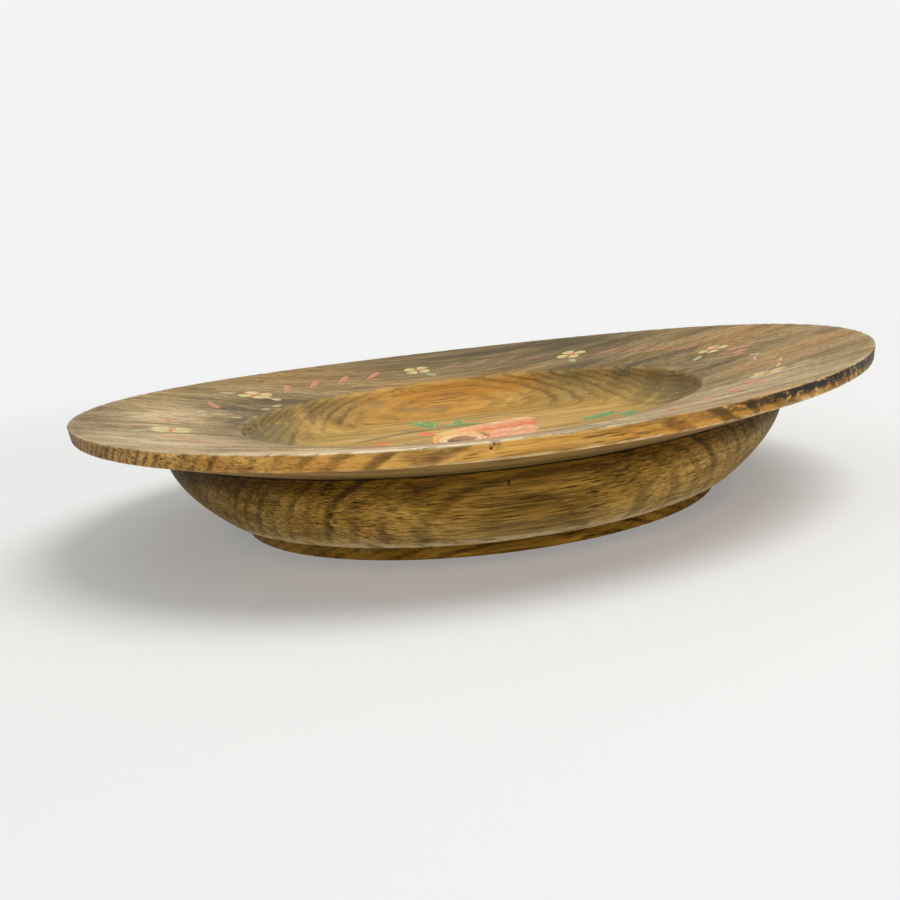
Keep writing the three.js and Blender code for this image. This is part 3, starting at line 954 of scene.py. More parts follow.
class PaintFinish(Finish):
    """Thin old paint with brush streaks, worn through to the wood in places.

    Attributes:
        relief: How high its streaks stand.
        side_load: How much lighter a stroke is on its left side than in its middle.
        grain_show: How much of the wood's grain shows through at most.
        wear_reach: How far the wear's noise moves the cover up and down.
        most_cover: The most that the paint covers.
    """

    relief: float = 0.05
    side_load: float = 0.16
    grain_show: float = 0.22
    wear_reach: float = 0.45
    most_cover: float = 0.95

    def __init__(self, tone: PaintTone, wood: OldWood) -> None:
        """Dresses the material.

        Args:
            tone: The paint's colours.
            wood: The wood under it.
        """
        super().__init__(f"{tone.name}_on_{wood.name}")
        pen = self.pen
        place = pen.place()
        under = wood.read(pen)
        lane = pen.mark(Mark.LANE)
        streaks = self._streaks(lane)
        loaded = pen.math("ADD", pen.product(lane, self.side_load), streaks)
        body = linear(tone.body)
        if tone.turned:
            body = pen.mix(pen.span(pen.x_of(place), *tone.turning), body, linear(tone.turned))
        colour = pen.mix(pen.span(loaded, 0.28, 0.48), linear(tone.dark), body)
        colour = pen.mix(pen.span(loaded, 0.52, 0.74, 0, 0.85), colour, linear(tone.light))
        colour = pen.mix(pen.product(pen.noise(place, PAINT_GRAIN), self.grain_show), colour, under["Color"])
        left = pen.math("ADD", pen.mark(Mark.COVER), pen.swing(place, PAINT_WEAR, self.wear_reach))
        cover = pen.span(left, 0.02, 0.55, 0, self.most_cover)
        height = pen.scaled(streaks, 0.8, under["Height"])
        self.dress(pen.mix(cover, under["Color"], colour), pen.span(cover, 0, 1, 0.5, 0.62), 0.2, height)

    def _streaks(self, lane: Socket) -> Socket:
        """The brush's streaks: noise drawn out along the stroke.

        Args:
            lane: Where a point lies across the stroke.

        Returns:
            The noise.
        """
        pen = self.pen
        run = pen.add("ShaderNodeCombineXYZ")
        pen.feed(run.inputs[0], pen.product(pen.mark(Mark.RUN), 0.9))
        pen.feed(run.inputs[1], pen.scaled(lane, 2.6, pen.product(pen.mark(Mark.TINT), 37.0)))
        brush = pen.add("ShaderNodeTexNoise", noise_dimensions="2D")
        for name, value in {"Vector": run.outputs[0], "Scale": 1.0, "Detail": 3.0}.items():
            pen.feed(brush.inputs[name], value)
        return brush.outputs[0]


def marked_mesh(name: str, points: np.ndarray, faces: Faces, marks: Marks) -> bpy.types.Mesh:
    """Makes a smooth closed mesh that holds marks.

    Args:
        name: The mesh's name.
        points: Its points, in millimetres. Those that lie in one place become one.
        faces: The faces' points, by number.
        marks: What the mesh says of each point.

    Returns:
        The mesh, in metres.
    """
    mesh = bpy.data.meshes.new(name)
    mesh.from_pydata((points * METRES).tolist(), [], faces)
    for mark, values in marks.items():
        mesh.attributes.new(mark.value, "FLOAT", "POINT").data.foreach_set("value", values.astype(np.float32))
    work = bmesh.new()
    work.from_mesh(mesh)
    bmesh.ops.remove_doubles(work, verts=work.verts, dist=WELD * METRES)
    bmesh.ops.recalc_face_normals(work, faces=work.faces)
    work.to_mesh(mesh)
    work.free()
    mesh.shade_smooth()
    mesh.set_sharp_from_angle(angle=SHARP)
    mesh.update()
    return mesh


def shown(name: str, mesh: bpy.types.Mesh, finish: Finish, node: str = "") -> None:
    """Puts a mesh into the scene, and reports it.

    Args:
        name: The piece's name.
        mesh: Its mesh.
        finish: Its finish.
        node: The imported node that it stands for, if any.
    """
    mesh.materials.append(finish.material)
    piece = bpy.data.objects.new(name, mesh)
    bpy.context.scene.collection.objects.link(piece)
    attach(piece, BODY)
    if node:
        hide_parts(node)
    log.info("%s: %d faces", name, len(mesh.polygons))


@dataclass(frozen=True)
class Corner:
    """A corner of a profile, by radius and height, with the size of the curve that eases it."""

    radius: float
    height: float
    round: float = 0

    @property
    def at(self) -> np.ndarray:
        """The corner as a point."""
        return np.array([self.radius, self.height])


@dataclass
class Turned:
    """A closed form turned round the plate's middle line and cupped with the old wood.

    Attributes:
        name: The piece's name, which is its node's name.
        slot: The slot that its finish comes from.
        turn_steps: How many steps go round it.
        round_steps: How many steps a rounded corner has.
        step: How long the steps of its profile are at most.
        edge_step: How long they are on the rim's edge.
        edge_depth: How far in from the rim's radius its edge counts.
    """

    name: str
    slot: str
    turn_steps: int = 720
    round_steps: int = 6
    step: float = 1.6
    edge_step: float = 1.6
    edge_depth: float = 1.6

    def corners(self) -> list[Corner]:
        """The profile's corners, anticlockwise, from the axis or from anywhere on a ring."""
        raise NotImplementedError

    def marks(self, radius: np.ndarray, height: np.ndarray, angle: np.ndarray) -> Marks:
        """What the surface is like at each point."""
        return {}

    def wear(self, radius: np.ndarray, height: np.ndarray, angle: np.ndarray) -> Pair:
        """How far age has moved each point along the radius and upwards."""
        return np.zeros_like(radius), np.zeros_like(radius)

    def _eased(self) -> list[np.ndarray]:
        """The profile with its corners eased by short curves.

        Returns:
            The points.
        """
        corners = self.corners()
        points: list[np.ndarray] = []
        for index, corner in enumerate(corners):
            if corner.round == 0:
                points.append(corner.at)
                continue
            before, after = corners[index - 1].at - corner.at, corners[index + 1].at - corner.at
            lengths = np.linalg.norm(before), np.linalg.norm(after)
            cut = min(corner.round, *(length / 2 for length in lengths))
            start, end = corner.at + before * cut / lengths[0], corner.at + after * cut / lengths[1]
            shares = np.linspace(0, 1, self.round_steps + 1)
            points.extend(curve(start, corner.at, end, share) for share in shares)
        return points

    def profile(self) -> np.ndarray:
        """The profile, with its long runs divided.

        Returns:
            The points, by radius and height.
        """
        eased = self._eased()
        points = [eased[0]]
        for begin, point in zip(eased, eased[1:]):
            is_edge = min(point[0], begin[0]) > PLATE.rim_radius - self.edge_depth
            step = self.edge_step if is_edge else self.step
            count = max(1, math.ceil(np.linalg.norm(point - begin) / step))
            points.extend(begin + (point - begin) * share for share in np.linspace(0, 1, count + 1)[1:])
        return np.array(points)

    def mesh(self) -> bpy.types.Mesh:
        """Turns the profile, moves its points with the wear and the cupping, and marks them.

        Returns:
            The mesh.
        """
        points = self.profile()
        is_ring = np.allclose(points[0], points[-1])
        points = points[:-1] if is_ring else points
        radius, height = (np.repeat(points[:, part], self.turn_steps) for part in (0, 1))
        angle = np.tile(np.linspace(0, 2 * math.pi, self.turn_steps, endpoint=False), len(points))
        along, up = self.wear(radius, height, angle)
        worn = radius + along
        places = PLATE.cupped(worn * np.cos(angle), worn * np.sin(angle), height + up)
        grid = np.arange(len(points) * self.turn_steps).reshape(len(points), self.turn_steps)
        grid = np.vstack([grid, grid[:1]]) if is_ring else grid
        ahead = np.roll(grid, -1, axis=1)
        faces = np.stack([grid[:-1], ahead[:-1], ahead[1:], grid[1:]], axis=-1).reshape(-1, 4)
        marks = {Mark.LEVEL: height, **self.marks(radius, height, angle), **stain_marks(places)}
        return marked_mesh(self.name, places, faces.tolist(), marks)

    def build(self, wood: OldWood) -> None:
        """Builds the piece and dresses it in its wood."""
        shown(self.name, self.mesh(), WoodFinish(self.slot, wood), self.name)


@dataclass
class Foot(Turned):
    """The low disc that the plate stands on, with the spigot that is glued into the bowl."""

    name: str = "foot"
    slot: str = "foot_wood"

    def corners(self) -> list[Corner]:
        """From the middle of the underside round to the top of the spigot.

        Returns:
            The corners.
        """
        s = PLATE
        top = s.foot_height + s.spigot_height
        return [
            Corner(0, 0), Corner(s.foot_radius, 0, s.foot_edge_round), Corner(s.foot_radius, s.foot_height),
            Corner(s.spigot_radius, s.foot_height), Corner(s.spigot_radius, top), Corner(0, top),
        ]


@dataclass
class Bowl(Turned):
    """The thick-walled bowl with its flat-floored well.

    Attributes:
        wall_steps: How many steps the curve of the wall has.
        cove_steps: How many steps the cove has.
        worn_rise: How far above its base the wall is most worn.
        worn_reach: How far from there the wear ends, and how far it is full.
    """

    name: str = "bowl"
    slot: str = "bowl_wood"
    wall_steps: int = 16
    cove_steps: int = 16
    worn_rise: float = 0.6
    worn_reach: Spot = (2.2, 0.4)

    def _wall(self, base: float) -> list[Corner]:
        """The wall, from its base up to the shoulder.

        Args:
            base: The height of the base.

        Returns:
            The corners.
        """
        s = PLATE
        low = np.array([s.bowl_base_radius, base])
        bend = np.array([s.shoulder_radius, s.shoulder_height - s.wall_straight_drop])
        high = np.array([s.shoulder_radius, s.shoulder_height])
        foot, *rest = (curve(low, bend, high, share) for share in np.linspace(0, 1, self.wall_steps + 1))
        return [Corner(*foot, s.bowl_base_round), *(Corner(*point) for point in rest)]

    def _cove(self) -> list[Corner]:
        """The well's cove, from the shoulder's height down to the floor, without its ends.

        Returns:
            The corners.
        """
        s = PLATE
        depth = s.lip_height - s.floor_height
        start = math.asin((s.lip_height - s.shoulder_height) / depth)
        return [
            Corner(s.floor_radius + s.cove_width * math.cos(angle), s.lip_height - depth * math.sin(angle))
            for angle in np.linspace(start, math.pi / 2, self.cove_steps + 1)[1:-1]
        ]

    def corners(self) -> list[Corner]:
        """From the socket under the bowl, out and up its wall, over the shoulder and down into the well.

        Returns:
            The corners.
        """
        s = PLATE
        base, shoulder = s.foot_height + s.glue_line, s.shoulder_height
        socket_radius = s.spigot_radius + s.joint_play
        socket_top = s.foot_height + s.spigot_height + s.joint_play
        tongue_outer, tongue_top = s.tongue_inner_radius + s.tongue_width, shoulder + s.tongue_height
        return [
            Corner(0, socket_top), Corner(socket_radius, socket_top), Corner(socket_radius, base),
            *self._wall(base), Corner(tongue_outer, shoulder), Corner(tongue_outer, tongue_top),
            Corner(s.tongue_inner_radius, tongue_top), Corner(s.tongue_inner_radius, shoulder),
            Corner(s.cove_radius(shoulder), shoulder), *self._cove(),
            Corner(s.floor_radius, s.floor_height), Corner(0, s.floor_height),
        ]

    def marks(self, radius: np.ndarray, height: np.ndarray, angle: np.ndarray) -> Marks:
        """The wall outside and its worn base.

        Args:
            radius: Each point's radius.
            height: Its height.
            angle: Its angle. It is not used.

        Returns:
            The marks.
        """
        outside = (radius > PLATE.lip_radius + 1).astype(float)
        away = np.abs(height - PLATE.foot_height - PLATE.glue_line - self.worn_rise)
        return {Mark.SIDE: outside, Mark.WORN: outside * ease(*self.worn_reach, away)}


@dataclass(frozen=True)
class Nick:
    """A small dent or chip in the rim's edge: where it is, how large it is and how deep."""

    angle: float
    height: float
    width: float
    tall: float
    depth: float


@dataclass(frozen=True)
class Arc:
    """A stretch of the rim, in degrees: where it starts, where it is full, and where it fades and ends."""

    start: float
    full: float
    fade: float
    end: float

    def share(self, degrees: np.ndarray) -> np.ndarray:
        """How much of it holds at each angle."""
        return ease(self.start, self.full, degrees) * ease(self.end, self.fade, degrees)


def arc_gap(angle: np.ndarray, middle: float) -> np.ndarray:
    """How far round each angle lies from a middle one in degrees, in degrees."""
    return (np.degrees(angle) - middle + 180) % 360 - 180


def rough(radius: np.ndarray, height: np.ndarray, angle: np.ndarray, size: float, seed: float) -> np.ndarray:
    """Noise from -1 to 1 on a turned surface, read on its points.

    Args:
        radius: Each point's radius.
        height: Its height.
        angle: Its angle.
        size: The noise's size.
        seed: Shifts the noise.

    Returns:
        One number for each point.
    """
    x, y = radius * np.cos(angle) / size, radius * np.sin(angle) / size
    return np.array([noise.noise(Vector((a, b, c / size + seed))) for a, b, c in zip(x, y, height)])


@dataclass
class Rim(Turned):
    """The broad dished rim, with a groove under it that fits the bowl's tongue.

    Attributes:
        rub_depth: How deep the rubbing of the edge goes.
        rub_size: How large its waves are.
        rub_seed: Shifts them.
        rubbed_above: Where the upper corner of the edge is worn bare.
        rubbed_below: Where the lower corner is.
        clean_below: Where soot has worn off the lower half of the edge, by degrees.
        soot_middle: The middle of the blackened stretch, in degrees.
        soot_reach: How far from there the soot ends, and how far it is full.
        worn_inset: How far in from the rim's radius the wear of the edge starts, and where it is full.
        sunk_top: How far below the top the chips still lower it.
        side_inset: How far in from the rim's radius the edge starts, and where it is all edge.
        side_depth: How far below the upper face the edge starts, and where it is all edge.
        under_inset: How far in from the rim's radius the underside starts, and where it is full.
        under_depth: How far below the upper face the underside starts, and where it is full.
        under_out: How far out from the lip the underside starts, and where it is full.
        well_out: How far out from the lip the well's tone ends.
        low_half: How far above its lower corner the lower half of the edge ends, and where it is full.
        nicks: The dents and chips.
    """

    name: str = "rim"
    slot: str = "rim_wood"
    turn_steps: int = 1024
    step: float = 1.4
    edge_step: float = 0.3
    rub_depth: float = 0.14
    rub_size: float = 2.2
    rub_seed: float = 3
    rubbed_above: Arc = Arc(228, 254, 266, 288)
    rubbed_below: Arc = Arc(246, 272, 325, 345)
    clean_below: Spot = (334, 322)
    soot_middle: float = 328
    soot_reach: Spot = (50, 26)
    worn_inset: Spot = (3, 0.8)
    sunk_top: float = 1.2
    side_inset: Spot = (1.1, 0.7)
    side_depth: Spot = (0.12, 0.4)
    under_inset: Spot = (0.75, 1.1)
    under_depth: Spot = (1, 2)
    under_out: Spot = (1, 2)
    well_out: Spot = (1.3, 0)
    low_half: Spot = (1.9, 0.9)
    nicks: Sequence[Nick] = (
        Nick(angle=265.9, height=32.7, width=0.9, tall=1.4, depth=0.9),
        Nick(angle=265.5, height=31.4, width=0.7, tall=0.4, depth=0.4),
        Nick(angle=228.4, height=32.9, width=2.6, tall=0.7, depth=0.7),
        Nick(angle=291.5, height=33.0, width=0.8, tall=0.8, depth=0.7),
        Nick(angle=307.6, height=33.0, width=1.3, tall=1.0, depth=0.8),
        Nick(angle=310.5, height=32.4, width=1.6, tall=0.8, depth=0.6),
        Nick(angle=302.0, height=29.7, width=1.8, tall=0.9, depth=0.6),
        Nick(angle=297.6, height=29.6, width=2.0, tall=0.6, depth=0.5),
    )

    def corners(self) -> list[Corner]:
        """From the inner seat, out under the rim, round its edge and back over its top to the lip.

        Returns:
            The corners.
        """
        s = PLATE
        seat = s.shoulder_height + s.closed_joint
        groove_top = s.shoulder_height + s.tongue_height + s.joint_play
        groove_inner = s.tongue_inner_radius - s.joint_play
        groove_outer = s.tongue_inner_radius + s.tongue_width + s.joint_play
        start = Corner(s.cove_radius(seat), seat)
        return [
            start, Corner(groove_inner, seat), Corner(groove_inner, groove_top),
            Corner(groove_outer, groove_top), Corner(groove_outer, seat), Corner(s.shoulder_radius, seat),
            Corner(s.rim_radius - s.rim_edge_lean, s.rim_corner_height, s.rim_edge_round),
            Corner(s.rim_radius, s.rim_top_height, s.rim_edge_round),
            Corner(s.lip_radius, s.lip_height, s.lip_round), start,
        ]

    def wear(self, radius: np.ndarray, height: np.ndarray, angle: np.ndarray) -> Pair:
        """Rubs the corners and sinks the chips in the edge.

        Args:
            radius: Each point's radius.
            height: Its height.
            angle: Its angle.

        Returns:
            How far each point moves along the radius and upwards.
        """
        s = PLATE
        edge = ease(*(s.rim_radius - inset for inset in self.worn_inset), radius)
        found = edge > 0
        wave = np.zeros_like(radius)
        wave[found] = rough(radius[found], height[found], angle[found], self.rub_size, self.rub_seed)
        rub = edge * self.rub_depth * np.clip(wave + 0.25, 0, 1)
        for nick in self.nicks:
            across = np.radians(arc_gap(angle, nick.angle)) * s.rim_radius / nick.width
            above = (height - nick.height) / nick.tall
            rub = rub + edge * nick.depth * np.exp(-(across**4) - above**4)
        top = ease(s.rim_top_height - self.sunk_top, s.rim_top_height, height)
        return -rub, -rub * 0.6 * top

    def marks(self, radius: np.ndarray, height: np.ndarray, angle: np.ndarray) -> Marks:
        """The edge, the underside, the worn corners and the blackened end grain.

        Args:
            radius: Each point's radius.
            height: Its height.
            angle: Its angle.

        Returns:
            The marks.
        """
        s = PLATE
        depth, inset, out = s.rim_level(radius) - height, s.rim_radius - radius, radius - s.lip_radius
        degrees = np.degrees(angle) % 360
        side = ease(*self.side_inset, inset) * ease(*self.side_depth, depth)
        beyond = ease(*self.under_out, out) * ease(*self.under_inset, inset)
        upper_corner = np.hypot(radius - s.rim_radius + 0.25, height - s.rim_top_height + 0.1)
        lower_corner = np.hypot(radius - s.rim_radius + s.rim_edge_lean + 0.1, height - s.rim_corner_height)
        above = ease(0.5, 0.15, upper_corner) * (0.2 + 0.8 * self.rubbed_above.share(degrees))
        below = ease(0.55, 0.2, lower_corner) * (0.1 + 0.42 * self.rubbed_below.share(degrees))
        low_half = ease(*self.low_half, height - s.rim_corner_height)
        soot = ease(*self.soot_reach, np.abs(arc_gap(angle, self.soot_middle)))
        return {
            Mark.SIDE: side,
            Mark.UNDER: beyond * ease(*self.under_depth, depth),
            Mark.WELL: ease(*self.well_out, out),
            Mark.WORN: np.maximum(above, below),
            Mark.SOOT: side * soot * (1 - 0.9 * low_half * ease(*self.clean_below, degrees)),
        }


class BrushShape(Enum):
    """How wide a brush stroke is from its start to its end, as a share of its half width."""

    PETAL = "petal"
    COMMA = "comma"
    LEAF = "leaf"
    DOT = "dot"
    LINE = "line"
    FAN = "fan"

    def widths(self, share: np.ndarray) -> np.ndarray:
        """Works out the widths.

        Args:
            share: The shares of the way along.

        Returns:
            The width at each of them.
        """
        left = 1 - share
        if self is BrushShape.PETAL:
            return 2.26 * share**0.7 * np.sqrt(left)
        if self is BrushShape.COMMA:
            return 2.6 * share * np.sqrt(left)
        if self is BrushShape.LEAF:
            return np.sin(math.pi * share) ** 0.8
        if self is BrushShape.DOT:
            return np.sqrt(4 * share * left)
        if self is BrushShape.FAN:
            return (0.5 + 0.5 * share) * np.sqrt(np.clip(8 * left, 0, 1))
        return np.minimum(1, np.minimum(6 * share, 6 * left)) ** 0.5


@dataclass(frozen=True)
class Stroke:
    """One brush stroke on a flat curve.

    Attributes:
        line: Gives the flat points at shares of the way along.
        half_width: Gives the half widths there.
        steps: How many steps it has along its length.
        lanes: How many lanes it has across.
        lift: How far its underside lies above the wood.
        thickness: How thick it is in the middle.
        fade: How much less it covers towards its start. A stroke without it covers as well at its two ends.
        cover: How much of it is left.
        ripple: How uneven its outline is.
    """

    line: Line
    half_width: Line
    steps: int = 16
    lanes: int = 6
    lift: float = 0.02
    thickness: float = 0.045
    fade: float = 0.25
    cover: float = 1
    ripple: float = 0.16

    @property
    def shares(self) -> np.ndarray:
        """How far along its points lie, from 0 to 1."""
        return np.linspace(0, 1, self.steps + 1)

    @property
    def across(self) -> np.ndarray:
        """How far across its points lie, from -1 to 1."""
        return np.linspace(-1, 1, self.lanes + 1)

    def points(self, tint: float) -> Pair:
        """Lays out the stroke.

        Args:
            tint: A number from 0 to 1 that makes its outline its own.

        Returns:
            The flat points, and the heights of its upper face.
        """
        share, lane, width = self.shares, self.across, self.half_width(self.shares)
        ahead = self.line(np.clip(share + 1e-3, 0, None)) - self.line(share - 1e-3)
        ahead = ahead / np.linalg.norm(ahead, axis=1)[:, None]
        aside = np.stack([-ahead[:, 1], ahead[:, 0]], axis=1)
        ripples = (
            np.array([noise.noise(Vector((s * 5, side * 9.0, tint * 50))) for s in share]) for side in (-1, 1)
        )
        right, left = (width * (1 + self.ripple * ripple) for ripple in ripples)
        half = np.where(lane[None, :] > 0, left[:, None], right[:, None])
        flat = self.line(share)[:, None, :] + aside[:, None, :] * (half * lane[None, :])[:, :, None]
        domed = np.sqrt(np.clip(1 - lane**4, 0, 1))[None, :] * np.clip(width / 0.4, 0, 1)[:, None]
        return flat, self.lift + self.thickness * domed

    def marks(self, tint: float) -> Marks:
        """What the paint is like at each of its points.

        Args:
            tint: The number that makes the stroke its own.

        Returns:
            The marks.
        """
        share, lane = self.shares[:, None], self.across[None, :]
        fade = self.cover * (1 - self.fade * (1 - share))
        if self.fade:
            fade = fade * ease(0, 0.1, share) * ease(1, 0.94, share)
        cover = fade * (1 - 0.9 * np.abs(lane) ** 5)
        run, across = (np.broadcast_to(values, cover.shape) for values in (share * self.steps / 4, lane))
        return {Mark.COVER: cover, Mark.RUN: run, Mark.LANE: across, Mark.TINT: np.full_like(cover, tint)}


@dataclass
class PaintedPiece:
    """The strokes of one painted piece, as one mesh.

    Attributes:
        name: The piece's name.
        paint: The paint.
        place: Puts flat points on the wood.
        strokes: The strokes.
        is_node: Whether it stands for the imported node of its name.
    """

    name: str
    paint: Paint
    place: Place
    strokes: list[Stroke] = field(default_factory=list)
    is_node: bool = True

    def mesh(self) -> bpy.types.Mesh:
        """Builds the strokes as closed thin solids that hold their own marks.

        Returns:
            The mesh.
        """
        draw = random.Random(self.name)
        layers: list[np.ndarray] = []
        faces: list[list[int]] = []
        marks: dict[Mark, list[np.ndarray]] = {}
        for stroke in self.strokes:
            tint = draw.random()
            flat, heights = stroke.points(tint)
            grid = np.arange(heights.size).reshape(heights.shape) + sum(len(layer) for layer in layers)
            for levels in (heights, np.full_like(heights, stroke.lift)):
                layers.append(self.place(flat[..., 0], flat[..., 1], levels).reshape(-1, 3))
            corners = [grid[:-1, :-1], grid[1:, :-1], grid[1:, 1:], grid[:-1, 1:]]
            top = np.stack(corners, axis=-1).reshape(-1, 4)
            faces.extend([*top.tolist(), *(top[:, ::-1] + heights.size).tolist()])
            for mark, values in stroke.marks(tint).items():
                marks.setdefault(mark, []).extend([values.ravel()] * 2)
        points = np.concatenate(layers)
        held = {mark: np.concatenate(values) for mark, values in marks.items()}
        return marked_mesh(self.name, points, faces, {**held, **stain_marks(points)})

    def build(self, finishes: dict[Paint, PaintFinish]) -> None:
        """Builds the piece and dresses it in its paint."""
        node = self.name if self.is_node else ""
        shown(self.name, self.mesh(), finishes[self.paint], node)


def on_rim(angle: float) -> Place:
    """Gives the places round a spot on the garland.

    Args:
        angle: Where the spot is, in degrees.

    Returns:
        Puts flat points on the rim: along is clockwise round it, and out is away from the middle.
    """

    def place(along: np.ndarray, out: np.ndarray, lift: np.ndarray) -> np.ndarray:
        """Puts flat points on the rim.

        Args:
            along: How far round they lie.
            out: How far out.
            lift: How far above the wood.

        Returns:
            The points.
        """
        radius = PLATE.garland_radius + out
        around = math.radians(angle) - along / PLATE.garland_radius
        return PLATE.cupped(radius * np.cos(around), radius * np.sin(around), PLATE.rim_level(radius) + lift)

    return place


def on_rim_flat(x: np.ndarray, y: np.ndarray, lift: np.ndarray) -> np.ndarray:
    """Puts flat points, seen from above, on the rim."""
    return PLATE.cupped(x, y, PLATE.rim_level(np.hypot(x, y)) + lift)


def on_floor(x: np.ndarray, y: np.ndarray, lift: np.ndarray) -> np.ndarray:
    """Puts flat points on the floor of the well."""
    return PLATE.cupped(x, y, PLATE.floor_height + lift)


def polar(distance: float, degrees: float) -> np.ndarray:
    """A flat point by its distance and direction."""
    turn = math.radians(degrees)
    return np.array([distance * math.cos(turn), distance * math.sin(turn)])


def bowed(start: np.ndarray, end: np.ndarray, bow: float) -> Line:
    """A path between two flat points.

    Args:
        start: Its start.
        end: Its end.
        bow: How far its middle stands to the left.

    Returns:
        Gives the points at shares of the way.
    """
    along = end - start
    aside = np.array([-along[1], along[0]]) / np.linalg.norm(along)
    middle = (start + end) / 2 + 2 * bow * aside
    return lambda share: curve(start, middle, end, share[:, None])


def dab(
    shape: BrushShape,
    start: Sequence[float],
    end: Sequence[float],
    half_width: float,
    bow: float = 0,
    **extra: float,
) -> Stroke:
    """A stroke of one of the named shapes.

    Args:
        shape: Its shape.
        start: Its flat start.
        end: Its flat end.
        half_width: Its half width.
        bow: How far its middle stands to the left.
        extra: Other values of the stroke.

    Returns:
        The stroke.
    """
    line = bowed(np.array(start), np.array(end), bow)
    return Stroke(line, lambda share: half_width * shape.widths(share), **extra)


@dataclass(frozen=True)
class Motif:
    """One blossom of the garland and what follows it.

    Attributes:
        angle: Where it is, in degrees.
        turn: How far its petals are turned.
        leaf_points_out: Whether its leaf points away from the middle.
        has_spray: Whether a spray follows it.
        size: How large it is, as a share of a plain one.
        cover: How much of the spray's commas is left.
    """

    angle: float
    turn: float
    leaf_points_out: bool
    has_spray: bool
    size: float = 1
    cover: float = 1


